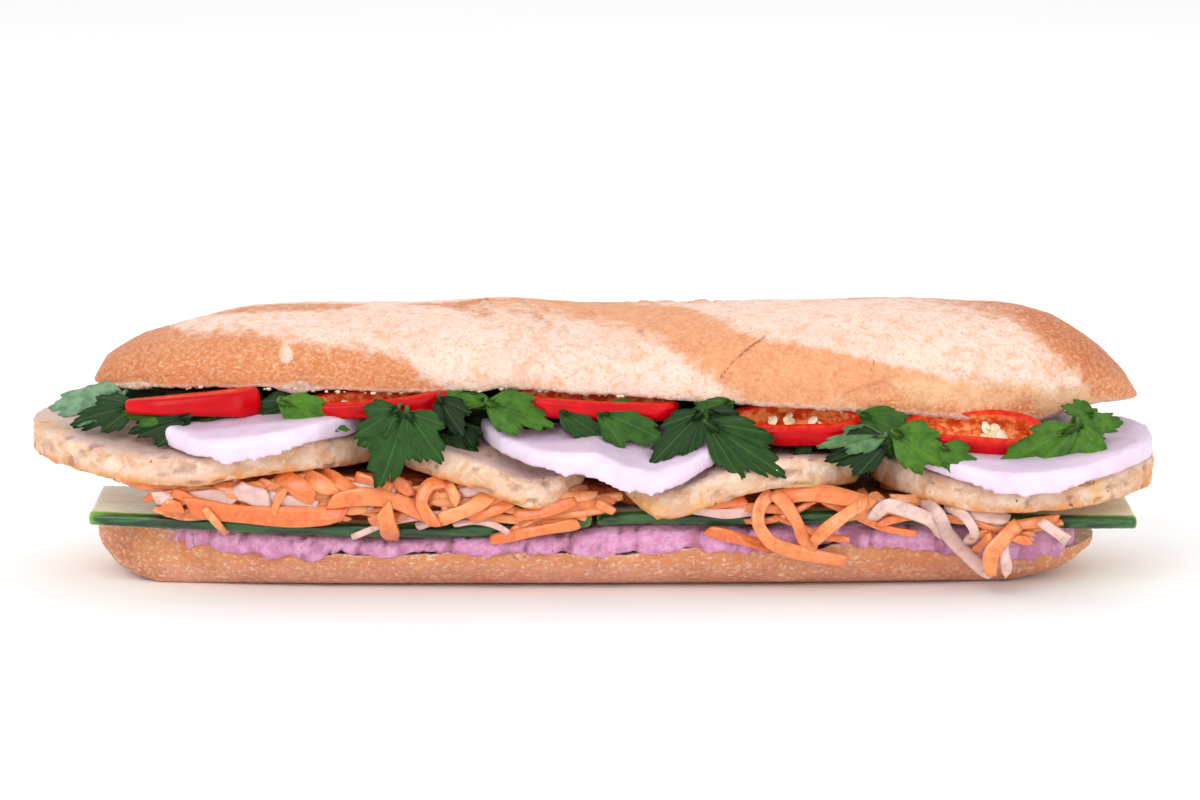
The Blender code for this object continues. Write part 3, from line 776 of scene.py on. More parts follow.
def path_frames(points, spacing, fewest, most, face):
    """A path's points, directions, sides and ups, and its length; ups turn toward face."""
    pts = np.array(points, dtype=float)
    length = np.sum(np.linalg.norm(np.diff(pts, axis=0), axis=1))
    c = path_through(pts, int(np.clip(length / spacing, fewest, most)))
    tangent = np.gradient(c, axis=0)
    tangent /= np.linalg.norm(tangent, axis=1, keepdims=True)
    side = np.cross(tangent, np.array(face, dtype=float))
    side /= np.maximum(np.linalg.norm(side, axis=1, keepdims=True), 1e-6)
    return c, tangent, side, np.cross(side, tangent), length


# Half of a strip's cross-section, in half widths and half thicknesses; the rest mirrors it.
CORNERS = [(-1, -0.55), (-0.9, -0.95), (-0.3, -1), (0.3, -1), (0.9, -0.95), (1, -0.55)]
SECTION = CORNERS + [(-a, -b) for a, b in CORNERS]


def strip_mesh(points, width, thick, face, start, end, twist, slant, seed):
    """A cut strip with squarish edges: rings along a path, its broad side turned to face."""
    rng = np.random.default_rng(seed)
    c, tangent, side, up, length = path_frames(points, 1.1, 9, 42, face)
    count = len(c)
    t = np.linspace(0, 1, count)
    turn = twist * (t - 0.5) + 0.25 * np.sin(3 * t + rng.uniform(0, 6))
    across = side * np.cos(turn)[:, None] + up * np.sin(turn)[:, None]
    outward = up * np.cos(turn)[:, None] - side * np.sin(turn)[:, None]
    near = np.minimum(0.4 * width / length, 0.2)
    half_width = 0.5 * width * (1 - (1 - start) * (1 - smooth(t / near)))
    half_width = half_width * (1 - (1 - end) * smooth((t - 1 + 1.6 * near) / (1.6 * near)))
    half_width = half_width * (1 + 0.08 * np.sin(9 * t + rng.uniform(0, 6)))
    half_thick = 0.5 * thick * (1 + 0.1 * np.sin(11 * t + rng.uniform(0, 6)))
    at_ends = np.exp(-((t - 1) / 0.12) ** 2), np.exp(-(t / 0.12) ** 2)
    rings = []
    for a, b in SECTION:
        shear = slant * a * half_width * at_ends[0] - slant * a * half_width * at_ends[1]
        rings.append(c + across * (a * half_width)[:, None] + outward * (b * half_thick)[:, None]
                     + tangent * shear[:, None])
    verts = np.stack(rings, axis=1).reshape(-1, 3)
    verts = np.vstack([verts, c[0] - tangent[0] * 0.25, c[-1] + tangent[-1] * 0.25])
    tone = np.full(len(verts), rng.uniform(0, 1))
    # middle is 0 at the strip's edges, which the material paints lighter as painted light
    inner = np.concatenate([np.tile([1 - abs(x) for x, _ in SECTION], count), [0, 0]])
    return verts, close_tube(count, len(SECTION)), {"tone": tone, "middle": inner}


def join(parts):
    """One mesh from many, drawn in where it stands out past the front limit."""
    verts = []
    faces = []
    masks = {}
    base = 0
    for v, f, m in parts:
        verts.append(v)
        faces += [tuple(int(i) + base for i in q) for q in f]
        base += len(v)
        for key, value in m.items():
            masks.setdefault(key, []).append(value)
    verts = np.vstack(verts)
    past = verts[:, 1] - FRONT_LIMIT
    verts[:, 1] = np.where(past < 0, FRONT_LIMIT + 0.45 * past, verts[:, 1])
    return verts, faces, {key: np.concatenate(v) for key, v in masks.items()}


def touch(tree, x, h, lift):
    """The first surface that the main view meets at x and h, raised a little toward it."""
    d = seen(x, h, 0.0) - EYE
    d /= np.linalg.norm(d)
    hit = tree.ray_cast(Vector(EYE), Vector(d))[0]
    q = np.array(hit) if hit is not None else seen(x, h, -31.0)
    return q - d * lift


# Each strip: kind, width, thickness, then (x, h, lift) along it as the main view shows it.
STRIPS = [
    ("carrot", 4.6, 1.5, [(-95.6, 14.2, 1.6), (-84, 12.6, 2.0), (-70, 11.9, 2.4), (-58.6, 12.4, 1.8)]),
    ("carrot", 1.7, 1.2, [(-91.8, 13.8, 3.2), (-89.5, 11.0, 3.6), (-86.6, 8.1, 3.4)]),
    ("carrot", 4.6, 1.6, [(-74.0, 22.0, 0.8), (-70, 19.0, 1.6), (-65.9, 16.2, 1.6)]),
    ("carrot", 3.8, 1.5, [(-70.0, 22.8, 0.6), (-65, 20.0, 1.6), (-61.0, 17.4, 1.8)]),
    ("carrot", 3.2, 1.4, [(-65.0, 23.0, 0.6), (-60, 20.0, 1.6), (-55.6, 17.0, 2.0)]),
    ("carrot", 4.0, 1.5, [(-62.2, 15.6, 2.0), (-53.6, 16.6, 2.6), (-46.7, 15.4, 2.6), (-39.8, 12.6, 1.6)]),
    ("carrot", 4.2, 1.3, [(-49.6, 14.0, 3.2), (-48.6, 10.0, 3.6), (-47.6, 6.7, 3.2)]),
    ("carrot", 3.0, 1.3, [(-34.8, 20.2, 0.8), (-38.8, 19.2, 2.6), (-40.6, 15.6, 3.6), (-37.4, 9.6, 3.4)]),
    ("carrot", 2.6, 1.3, [(-35.0, 20.6, 1.0), (-33.4, 18.0, 2.2), (-32.0, 15.0, 2.2)]),
    ("carrot", 3.4, 1.4, [(-36.4, 11.2, 2.0), (-28.3, 14.2, 2.4), (-23.0, 17.8, 1.2)]),
    ("carrot", 2.6, 1.3, [(-29.4, 11.6, 1.2), (-24, 13.2, 1.6), (-18.6, 15.6, 1.2)]),
    ("carrot", 3.0, 1.3, [(-18.6, 12.0, 1.4), (-11.4, 13.2, 1.8), (-4.2, 15.6, 1.4)]),
    ("carrot", 2.6, 1.2, [(-24.2, 6.4, 2.6), (-14, 8.4, 2.6), (-3.5, 10.2, 2.0)]),
    ("carrot", 3.0, 1.3, [(-30.0, 19.6, 0.8), (-21.0, 18.8, 1.2), (-11.0, 17.6, 0.8)]),
    ("carrot", 2.4, 1.3, [(-16.0, 17.8, 0.6), (-8.0, 16.4, 1.0), (0.6, 16.8, 0.6)]),
    ("carrot", 2.4, 1.3, [(18.0, 16.6, 0.6), (27.0, 14.8, 1.0), (36.0, 15.6, 0.6)]),
    ("daikon", 2.2, 1.2, [(22.0, 13.8, 0.8), (31.0, 12.6, 1.0), (38.6, 13.2, 0.8)]),
    ("carrot", 2.6, 1.3, [(68.0, 20.0, 0.6), (75.0, 18.6, 1.0), (83.0, 18.0, 0.6)]),
    ("carrot", 3.0, 1.4, [(-101.6, 14.8, 1.4), (-97.0, 14.0, 1.6)]),
    ("carrot", 2.4, 1.3, [(-99.4, 17.6, 1.0), (-96, 16.4, 1.4), (-93.6, 14.4, 1.2)]),
    ("carrot", 1.8, 1.2, [(-75.6, 12.6, 2.6), (-74.4, 16.0, 2.8), (-72.4, 18.8, 1.6)]),
    ("carrot", 3.0, 1.4, [(-48, 21.0, 0.6), (-45, 19, 1.4), (-43.0, 16.8, 1.4)]),
    ("carrot", 2.2, 1.2, [(-26.6, 15.2, 1.0), (-21.0, 16.2, 1.2), (-15.6, 15.9, 0.8)]),
    ("carrot", 3.2, 1.4, [(-56, 21.4, 0.6), (-52, 19.6, 1.2), (-47.6, 18.4, 1.2)]),
    ("carrot", 3.2, 1.2, [(42.0, 17.8, 0.6), (39.4, 14.4, 2.6), (38.8, 10.6, 4.2), (41.0, 6.6, 4.8),
                          (46.6, 4.0, 4.2), (52.6, 2.6, 3.4), (59.6, 1.5, 2.4)]),
    ("carrot", 3.0, 1.2, [(42.4, 17.6, 1.2), (45.4, 14.6, 2.6), (48.0, 10.4, 3.2), (49.8, 6.6, 3.4),
                          (52.6, 4.6, 3.2)]),
    ("carrot", 3.0, 1.2, [(67.6, 17.2, 0.8), (61.4, 13.4, 2.6), (56.0, 9.6, 3.4), (51.6, 6.0, 3.8)]),
    ("carrot", 2.2, 1.2, [(63.2, 18.0, 0.8), (63.6, 15.4, 1.6), (63.0, 12.4, 2.0)]),
    ("carrot", 2.8, 1.2, [(26.8, 8.8, 3.0), (34.0, 6.8, 3.4), (41.4, 4.8, 3.2)]),
    ("carrot", 4.0, 1.4, [(43.6, 16.6, 0.6), (52.0, 17.4, 1.2), (60.0, 16.2, 1.2), (66.0, 14.6, 0.6)]),
    ("carrot", 3.6, 1.3, [(100.2, 10.4, 1.2), (97.0, 6.8, 3.4), (93.8, 2.6, 3.6), (93.8, -1.9, 2.6)]),
    ("carrot", 2.0, 1.2, [(89.8, 3.6, 3.0), (93.6, 7.2, 3.0)]),
    ("carrot", 2.4, 1.3, [(98.4, 9.8, 1.2), (104, 10.4, 1.4), (109.6, 11.4, 0.8)]),
    ("carrot", 2.0, 1.2, [(99.4, 6.8, 3.4), (103.4, 5.9, 3.4)]),
    ("carrot", 2.2, 1.2, [(0.8, 15.2, 1.0), (4.8, 13.0, 1.2)]),
    ("carrot", 2.6, 1.3, [(70.4, 16.0, 0.6), (75.0, 15.8, 1.0), (80.0, 16.2, 0.5)]),
    ("carrot", 3.4, 1.4, [(-90.0, 18.2, 0.4), (-83, 17.8, 0.8), (-77.6, 19.4, 0.4)]),
    ("daikon", 3.0, 1.5, [(-103.8, 16.6, 1.0), (-99.4, 16.0, 1.2)]),
    ("daikon", 4.6, 1.5, [(-85.0, 18.6, 0.9), (-80.6, 17.0, 1.5), (-76.0, 15.2, 1.2)]),
    ("daikon", 3.2, 1.4, [(-76.2, 16.6, 1.0), (-70, 15.0, 1.4), (-65.4, 14.4, 1.2)]),
    ("daikon", 4.0, 1.4, [(-94.0, 16.4, 1.0), (-89, 16.2, 1.2), (-84.4, 15.6, 0.8)]),
    ("daikon", 3.2, 1.5, [(65.6, 11.6, 2.0), (69.2, 14.4, 2.2), (74.3, 13.2, 2.6), (78.6, 11.4, 2.8),
                          (82.4, 8.0, 2.2)]),
    ("daikon", 3.2, 1.4, [(77.4, 16.4, 0.8), (81.6, 12.2, 3.0), (83.6, 8.0, 3.8), (86.8, 4.2, 3.8),
                          (90.6, 0.8, 3.2), (93.8, -2.0, 2.2)]),
    ("daikon", 2.4, 1.4, [(83.0, 14.6, 1.2), (87.0, 12.6, 2.2), (89.6, 9.2, 2.6), (88.0, 6.2, 2.2)]),
    ("daikon", 2.6, 1.3, [(96.4, 6.4, 1.6), (97.0, 2.4, 2.4), (97.8, -1.7, 1.8)]),
    ("daikon", 2.6, 1.4, [(105.6, 10.8, 2.4), (108.4, 8.8, 3.2), (111.0, 6.6, 3.2)]),
    ("daikon", 3.0, 1.4, [(84.6, 14.2, 0.8), (91.0, 12.2, 1.2), (98.0, 11.2, 0.8)]),
    ("daikon", 2.6, 1.4, [(-57.0, 19.0, 0.8), (-51.6, 17.8, 1.2), (-47.0, 17.6, 0.8)]),
    ("daikon", 2.8, 1.4, [(-31.0, 17.4, 0.8), (-26.0, 18.6, 1.0), (-20.6, 18.0, 0.6)]),
]


def pickles(carrot_mat, daikon_mat):
    """Strips laid where the photo shows them, then random ones all over the heap."""
    tree = tree_of("pickled_shreds", "cucumber_front_1", "cucumber_front_2", "pate_spread",
                   "bread_bottom")
    parts = {"carrot": [], "daikon": []}
    for k, (kind, width, thick, marks) in enumerate(STRIPS):
        pts = [touch(tree, x, h, lift) for x, h, lift in marks]
        if len(pts) > 3:
            y = np.array([q[1] for q in pts])
            soft_y = np.convolve(np.pad(y, 1, "edge"), [0.25, 0.5, 0.25], "valid")
            pts = [np.array([q[0], min(v, q[1] + 0.4), q[2]]) for q, v in zip(pts, soft_y)]
        parts[kind].append(strip_mesh(pts, width, thick, -FWD, 0.85, 0.75, 0.3,
                                      RNG.uniform(-0.9, 0.9), seed=k))
    heap = tree_of("pickled_shreds")
    for k in range(420):
        side = -1 if k % 2 else 1
        x = RNG.uniform(-104, 112)
        z = RNG.uniform(14, 28)
        half = 0.5 * RNG.uniform(12, 30)
        lean = RNG.uniform(-0.45, 0.45)
        tilt = 0.0 if side < 0 else 0.45
        pts = []
        for t in np.linspace(-1, 1, 4):
            q = Vector((x + t * half, side * 60, z + t * half * lean + 1.2 * math.sin(2.2 * t + k)))
            hit = heap.ray_cast(q + Vector((0, 0, 30 * tilt)), Vector((0, -side, -tilt)))[0]
            if hit is None:
                break
            pts.append(np.array(hit) + np.array([0, side * RNG.uniform(-0.6, 0.5), tilt]))
        if len(pts) < 4 or np.ptp([q[1] for q in pts]) > 9 or pts[0][1] * side < 8:
            continue
        kind = "daikon" if RNG.random() < 0.3 else "carrot"
        parts[kind].append(strip_mesh(pts, RNG.uniform(1.4, 2.5), 1.2, (0, side, 0.2), 0.8, 0.8,
                                      RNG.uniform(-0.8, 0.8), RNG.uniform(-1, 1), seed=500 + k))
    for kind, mat in (("carrot", carrot_mat), ("daikon", daikon_mat)):
        v, f, m = join(parts[kind])
        add_mesh(kind + "_strips", v, f, mat, m,
                 ("pickled_shreds",) if kind == "carrot" else ())


# ---------------------------------------------------------------- coriander
def leaf_mesh(base, tip, face, wide, curl, droop, seed, tone, count, rings):
    """A toothed, lobed leaflet from its stem end to its tip, one side turned to face."""
    rng = np.random.default_rng(seed)
    base = np.array(base, dtype=float)
    along = np.array(tip, dtype=float) - base
    size = np.linalg.norm(along)
    along /= size
    face = np.array(face, dtype=float)
    side = np.cross(face, along)
    side /= np.linalg.norm(side)
    out = np.cross(along, side)
    angle = np.linspace(-1.35, 1.35, count)
    r = np.zeros(count)
    bud = np.zeros(count)
    # three lobes, each with rounded buds along its rim
    for at, reach, wide_of in ((0.0, 1.0, 0.50), (0.80, 0.84, 0.44), (-0.80, 0.80, 0.44)):
        at += 0.08 * rng.uniform(-1, 1)
        lobe = (reach + 0.07 * rng.uniform(-1, 1)) * (1 - 0.34 * np.abs((angle - at) / wide_of) ** 2.4)
        bud = np.where(lobe > r, np.abs(np.cos((angle - at) * 8.4)) ** 0.55, bud)
        r = np.maximum(r, lobe)
    teeth = np.abs(np.sin(angle * rng.uniform(21, 25) + rng.uniform(0, 3))) ** 0.8
    r = np.maximum(r, 0.22) * (0.80 + 0.17 * bud + 0.05 * teeth)
    r = r * (1 - 0.5 * smooth((np.abs(angle) - 1.15) / 0.2))
    s = np.linspace(0.0, 1.0, rings + 1)[1:]
    u = (s[:, None] * (r * np.cos(angle))[None, :]).ravel()
    v = (s[:, None] * (r * np.sin(angle))[None, :]).ravel() * wide
    u = np.append(u, 0.0)
    v = np.append(v, 0.0)
    ray = np.append(np.tile(angle, rings), 0)
    rad = np.append(np.repeat(s, count), 0)
    vein = 1 - smooth(np.abs(np.sin(ray * VEIN_RAYS)) * rad / 0.2)
    cup = -curl * v ** 2 * 1.4 - droop * u ** 2 + 0.05 * rng.uniform(-1, 1) * u * v * 4
    ripple = 0.05 * rad ** 2 * np.sin(ray * 4.3 + seed) + 0.018 * rad * np.sin(ray * 9 + 2 * seed)
    w = cup + ripple - 0.012 * vein * rad
    mid = base + size * (u[:, None] * along + v[:, None] * side + w[:, None] * out)
    # two layers, thicker at the stem end, joined round the rim
    half = 0.16 * (1 - 0.5 * rad)[:, None] * out
    verts = np.vstack([mid + half, mid - half])
    n = rings * count
    faces = []
    for layer, flip in ((0, False), (len(mid), True)):
        q = [tuple(f) for f in grid_faces(rings, count, wrap=False) + layer]
        q += [(layer + j, layer + j + 1, layer + n) for j in range(count - 1)]
        faces += [f[::-1] for f in q] if flip else q
    outer = (rings - 1) * count
    m = len(mid)
    for j in range(count - 1):
        faces.append((outer + j + 1, outer + j, m + outer + j, m + outer + j + 1))
    for i in range(rings - 1):
        a = i * count
        b = (i + 1) * count
        faces.append((a, b, m + b, m + a)[::-1])
        faces.append((a + count - 1, b + count - 1, m + b + count - 1, m + a + count - 1))
    faces.append((n, 0, m, m + n)[::-1])
    faces.append((n, count - 1, m + count - 1, m + n))
    masks = {"leaf_a": np.tile(ray, 2), "leaf_r": np.tile(rad, 2),
             "tone": np.full(len(verts), tone), "under": np.repeat([0.0, 1.0], m)}
    return verts, faces, masks


def stem_mesh(points, radius, tone):
    """A round stem along the points."""
    sides = 8
    c, _, side, up, _ = path_frames(points, 1.5, 6, 30, (0.1, 0.2, 1.0))
    a = np.linspace(0, 2 * np.pi, sides + 1)[:-1]
    v = (c[:, None, :] + radius * (np.cos(a)[None, :, None] * side[:, None, :]
         + np.sin(a)[None, :, None] * up[:, None, :])).reshape(-1, 3)
    v = np.vstack([v, c[0], c[-1]])
    z = np.zeros(len(v))
    masks = {"leaf_a": z + 1, "leaf_r": z, "tone": z + tone, "under": z + 0.5}
    return v, close_tube(len(c), sides), masks


# Each leaf: stem end (x, h, y), tip (x, h, y), width ratio, tone 0 dark to 1 pale (the dark end partly
# painted shade), face.
LEAVES = [
    ((-111.0, 40.6, -22), (-129.6, 38.2, -21), 0.62, 0.95, (0, -0.6, 0.8)),
    ((-108.0, 38.0, -28), (-124.0, 35.0, -27), 0.55, 0.20, (0, -0.8, 0.6)),
    ((-100.0, 35.6, -32), (-111.6, 37.4, -30), 0.50, 0.55, (0, -0.8, 0.6)),
    ((-95.0, 35.6, -34), (-110.6, 32.2, -33), 0.55, 0.15, (0, -0.9, 0.4)),
    ((-84.0, 37.0, -30), (-97.0, 33.0, -34), 0.60, 0.20, (0, -0.9, 0.4)),
    ((-67.0, 40.0, -26), (-86.0, 31.0, -33.0), 0.42, 0.22, (0.1, -0.9, 0.5)),
    ((-97.0, 41.0, -9), (-116.0, 43.6, -8), 0.95, 0.16, (0, -1, 0.2)),
    ((-74.4, 39.0, -34), (-57.0, 32.6, -36), 0.42, 0.75, (0, -0.8, 0.6)),
    ((-44.2, 37.0, -39), (-50.2, 18.4, -42.6), 0.66, 0.35, (0.15, -1.0, 0.15)),
    ((-44.0, 36.6, -39.4), (-36.2, 25.4, -42.2), 0.70, 0.38, (-0.1, -1.0, 0.2)),
    ((-46.0, 37.4, -39), (-56.2, 31.0, -41.4), 0.60, 0.33, (0.1, -1.0, 0.3)),
    ((-36.6, 40.0, -35), (-30.6, 30.8, -37.5), 0.60, 0.12, (0, -1, 0.3)),
    ((-24.0, 39.0, -31), (-38.2, 41.6, -31), 0.36, 0.70, (0, -0.7, 0.7)),
    ((-38.0, 38.2, -32), (-21.4, 39.0, -32), 0.32, 0.60, (0, -0.8, 0.6)),
    ((-25.4, 38.8, -35), (-8.6, 33.4, -37), 0.50, 0.62, (0, -0.9, 0.5)),
    ((-8.0, 37.2, -34), (2.6, 30.6, -36.5), 0.55, 0.30, (0, -0.9, 0.5)),
    ((1.0, 37.0, -34), (15.4, 31.0, -37), 0.62, 0.50, (0, -0.9, 0.4)),
    ((25.6, 36.6, -34), (13.8, 24.5, -40.5), 0.50, 0.22, (0.1, -1, 0.3)),
    ((33.0, 38.8, -31), (21.0, 35.0, -35), 0.50, 0.50, (0, -0.9, 0.5)),
    ((26.4, 34.2, -36), (46.0, 21.0, -41.5), 0.44, 0.30, (-0.1, -1, 0.25)),
    ((27.0, 37.0, -33), (37.0, 31.4, -37), 0.50, 0.14, (-0.1, -1, 0.3)),
    ((69.0, 31.0, -37), (52.8, 29.4, -39), 0.36, 0.88, (0, -0.8, 0.6)),
    ((69.4, 29.4, -37), (54.0, 24.6, -40), 0.55, 0.14, (0, -1, 0.3)),
    ((62.8, 36.0, -33), (77.6, 30.4, -37), 0.55, 0.52, (0, -0.8, 0.6)),
    ((70.6, 31.8, -37), (85.4, 24.6, -40), 0.62, 0.72, (0, -0.9, 0.45)),
    ((82.0, 28.4, -38), (91.6, 22.8, -40.4), 0.58, 0.62, (0, -0.9, 0.45)),
    ((114.0, 33.0, -33), (96.0, 24.4, -40), 0.40, 0.66, (0.1, -0.9, 0.45)),
    ((114.4, 34.4, -32), (113.4, 20.2, -39.6), 0.74, 0.70, (-0.1, -0.9, 0.4)),
    ((112.0, 32.6, -31), (126.2, 35.0, -27), 0.52, 0.80, (0, -0.7, 0.7)),
    ((118.0, 35.6, -28), (110.6, 38.0, -29), 0.70, 0.60, (0, -0.8, 0.6)),
]


def coriander(mat):
    """Leaves laid where the photo shows them, then random ones all along both sides."""
    parts = []
    for k, (a, b, wide, tone, face) in enumerate(LEAVES):
        base = seen(*a)
        parts.append(leaf_mesh(base, seen(*b), face, wide, 0.25, 0.12, k + 3, tone, 96, 5))
        root = base + np.array([RNG.uniform(-2, 2), 7, -0.5])
        parts.append(stem_mesh([root, base + [0, 3, 0.2], base + [0, 0.5, 0]], 0.45, tone))
    heap = tree_of("coriander")
    for k in range(230):
        front = k % 4 == 0
        side = -1 if front else 1
        x = RNG.uniform(-104, 107)
        z = RNG.uniform(34, 40) if front else RNG.uniform(32, 48)
        hit = heap.ray_cast(Vector((x, side * 60, z)), Vector((0, -side, 0)))[0]
        if hit is None or hit.y * side < 10:
            continue
        size = RNG.uniform(6, 9) if front else RNG.uniform(9, 15)
        turn = RNG.uniform(-1.2, 1.2)
        base = np.array(hit) + np.array([0, -side * 3.5, 1.0])
        if front:
            base[1] = max(base[1], -30)
        drop = -0.45 - 0.4 * RNG.random() if front else -0.7 * RNG.random()
        tip = base + size * np.array([math.sin(turn), side * 0.35, drop])
        tip[1] = np.clip(tip[1], -35.0, 33.0)
        wide, curl, droop = RNG.uniform((0.7, 0.1, 0.0), (1.0, 0.4, 0.3))
        # front leaves take darker tones: painted shade under the top half
        tone = RNG.uniform(0.0, 0.5) if front else RNG.uniform(0.1, 0.75)
        face = (0, side * 0.85, 0.5)
        parts.append(leaf_mesh(base, tip, face, wide, curl, droop, 100 + k, tone, 56, 4))
    v, f, m = join(parts)
    add_mesh("coriander_leaves", v, f, mat, m, ("coriander",))


# ---------------------------------------------------------------- chilli
def turned(p, pitch, yaw):
    """Tips the top toward the front by pitch, then turns in the front view by yaw."""
    c, s = math.cos(-pitch), math.sin(-pitch)
    q = p @ np.array([[1, 0, 0], [0, c, -s], [0, s, c]])
    c, s = math.cos(yaw), math.sin(yaw)
    return q @ np.array([[c, 0, s], [0, 1, 0], [-s, 0, c]])


def chilli_ring(centre, a, b, high, pitch, yaw, wall, seed, grow):
    """A slanting slice of chilli: a ring of wall, skin outside, with a seed bed across it."""
    count = 120
    ring = 16
    rings = 9
    phi = np.linspace(0, 2 * np.pi, count, endpoint=False)
    squash = 0.82 - 0.3 * abs(grow) * (np.cos(phi) * grow > 0)
    reach_x = np.sign(np.cos(phi)) * np.abs(np.cos(phi)) ** squash
    reach_y = np.sign(np.sin(phi)) * np.abs(np.sin(phi)) ** 1.06
    uneven = 1 + 0.03 * np.sin(3 * phi + seed) + 0.02 * np.sin(7 * phi + 2 * seed)
    t = np.linspace(0, 2 * np.pi, ring, endpoint=False)
    inward = np.sign(np.cos(t)) * np.abs(np.cos(t)) ** 0.55
    upward = np.sign(np.sin(t)) * np.abs(np.sin(t)) ** 0.6
    radial = 0.5 * wall * inward - 0.5 * wall
    bulge = 0.12 * high * np.where(np.cos(t) > 0, np.cos(t), 0)
    verts = []
    for j in range(count):
        inner = 1 + 0.16 * max(math.cos(3 * phi[j] + seed), 0)
        off = np.where(radial < -0.5 * wall, radial * inner, radial) + bulge
        x = (a + off) * reach_x[j] * uneven[j]
        y = (b + off) * reach_y[j] * uneven[j]
        z = 0.5 * high * upward * (1 + 0.06 * math.sin(2 * phi[j] + seed)) * (1 + 0.45 * grow * reach_x[j])
        verts.append(np.stack([x, y, z], axis=1))
    v = np.vstack(verts)
    faces = [tuple(f) for f in grid_faces(count, ring)]
    last = (count - 1) * ring
    for i in range(ring):
        k = (i + 1) % ring
        faces.append((last + i, last + k, k, i))
    skin = np.tile(smooth((np.cos(t) - 0.25) / 0.25), count)
    pith = np.tile(smooth((-np.cos(t) - 0.55) / 0.3), count)
    outward = v / np.maximum(np.linalg.norm(v, axis=1, keepdims=True), 1)
    v = v + 0.12 * fbm(v, 4, 2, seed)[:, None] * outward
    # the seed bed: a lumpy disc above and its flat copy below
    spread = np.linspace(0, 1, rings + 1)[1:]
    bed_x = np.outer(spread, (a - 0.9 * wall) * reach_x).ravel()
    bed_y = np.outer(spread, (b - 0.9 * wall) * reach_y).ravel()
    top = np.stack([bed_x, bed_y, np.zeros(len(bed_x))], axis=1)
    lump = 0.10 * high * fbm(top, 2.4, 3, seed + 4) + 0.05 * high
    top[:, 2] = -0.12 * high + lump
    top = np.vstack([top, [0, 0, 0]])
    low = top * [1, 1, 0] + [0, 0, -0.42 * high]
    m = len(top)
    disc = [tuple(f) for f in grid_faces(rings, count)[:, [0, 3, 2, 1]]]
    disc += [(j, (j + 1) % count, m - 1) for j in range(count)]
    bed = disc + [tuple(i + m for i in f)[::-1] for f in disc]
    outer = (rings - 1) * count
    for j in range(count):
        k = (j + 1) % count
        bed.append((outer + j, m + outer + j, m + outer + k, outer + k))
    base = len(v)
    faces += [tuple(i + base for i in f) for f in bed]
    v = turned(np.vstack([v, top, low]), pitch, yaw) + np.array(centre)
    masks = {"skin": np.concatenate([skin, np.zeros(2 * m)]),
             "pith": np.concatenate([pith, np.ones(2 * m)])}
    return v, faces, masks


def seed_mesh(centre, size, normal, turn, k):
    """A flat round chilli seed with a small beak."""
    count, rings = 14, 8
    a = np.linspace(0, 2 * np.pi, count, endpoint=False)
    b = np.linspace(-1, 1, rings)
    r = np.sqrt(np.clip(1 - b ** 4, 0, 1))
    x = (r[:, None] * np.cos(a)) * (1 + 0.25 * (np.cos(a) > 0.8))
    y = (r[:, None] * np.sin(a)) * 0.82
    z = b[:, None] * 0.26 * (1 - 0.35 * (x ** 2 + y ** 2))
    p = np.stack([x, y, z], axis=-1).reshape(-1, 3) * size
    n = np.array(normal, dtype=float)
    n /= np.linalg.norm(n)
    u = np.cross(n, [0.2, 1, 0.1])
    u /= np.linalg.norm(u)
    w = np.cross(n, u)
    c, s = math.cos(turn), math.sin(turn)
    u, w = c * u + s * w, c * w - s * u
    p = p[:, :1] * u + p[:, 1:2] * w + p[:, 2:] * n + np.array(centre)
    return p, lidded_tube(rings, count), {"tone": np.full(len(p), (k * 0.37) % 1)}


# Each slice: node, centre, half length, half depth, height, pitch, yaw, wall, grow, seeds.
CHILLIES = [
    ("chilli_slice_1", (-93.0, -27.9, 43.9), 15.0, 5.3, 5.0, -0.10, 0.03, 2.6, 0.85, 0),
    ("chilli_slice_2", (-50.4, -28.0, 44.2), 16.8, 5.4, 4.5, 0.16, 0.05, 2.4, 0.5, 2),
    ("chilli_slice_3", (0.0, -28.4, 43.9), 19.2, 5.5, 4.5, 0.14, -0.05, 2.5, -0.3, 3),
    ("chilli_slice_4", (46.9, -28.0, 39.6), 15.6, 5.9, 4.8, 0.50, 0.0, 2.6, 0.0, 8),
    ("chilli_slice_5", (87.8, -28.8, 37.4), 16.0, 5.9, 4.8, 0.56, -0.10, 2.2, 0.8, 12),
]


def chillies(mat, seed_mat):
    """The five slices, with loose seeds on the beds that show."""
    seeds = []
    for k, (node, centre, a, b, high, pitch, yaw, wall, grow, count) in enumerate(CHILLIES):
        v, f, m = chilli_ring(centre, a, b, high, pitch, yaw, wall, k + 1, grow)
        add_mesh(node + "_ring", v, f, mat, m, (node,))
        up = turned(np.array([[0, 0, 1.0]]), pitch, yaw)[0]
        for i in range(count):
            r = math.sqrt(RNG.random()) * 0.72
            t = RNG.uniform(0, 2 * math.pi)
            along = r * (a - wall) * math.cos(t)
            along = 0.5 * (abs(along) + 4) if grow > 0.7 else along
            local = np.array([[along, r * (b - wall) * math.sin(t), 0.12 * high]])
            where = turned(local, pitch, yaw)[0] + np.array(centre)
            lean = up + RNG.uniform(-0.5, 0.5, 3)
            seeds.append(seed_mesh(where, RNG.uniform(1.1, 1.5), lean, RNG.uniform(0, 6), i))
    v, f, m = join(seeds)
    add_mesh("chilli_seeds", v, f, seed_mat, m)


# ---------------------------------------------------------------- crumbs
def blob(centre, size, seed):
    """A small rough crumb."""
    count, rings = 9, 6
    a = np.linspace(0, 2 * np.pi, count, endpoint=False)
    b = np.linspace(0.25, np.pi - 0.25, rings)
    p = np.stack([np.outer(np.sin(b), np.cos(a)), np.outer(np.sin(b), np.sin(a)),
                  np.outer(np.cos(b), np.ones(count))], axis=-1).reshape(-1, 3)
    p = p * (1 + 0.6 * noise(p, 0.7, seed % 37)[:, None]) * [1.3, 0.8, 0.8] * size + np.array(centre)
    faces = [f[::-1] for f in lidded_tube(rings, count)]
    return p, faces, {"tone": np.full(len(p), (seed * 0.61) % 1)}


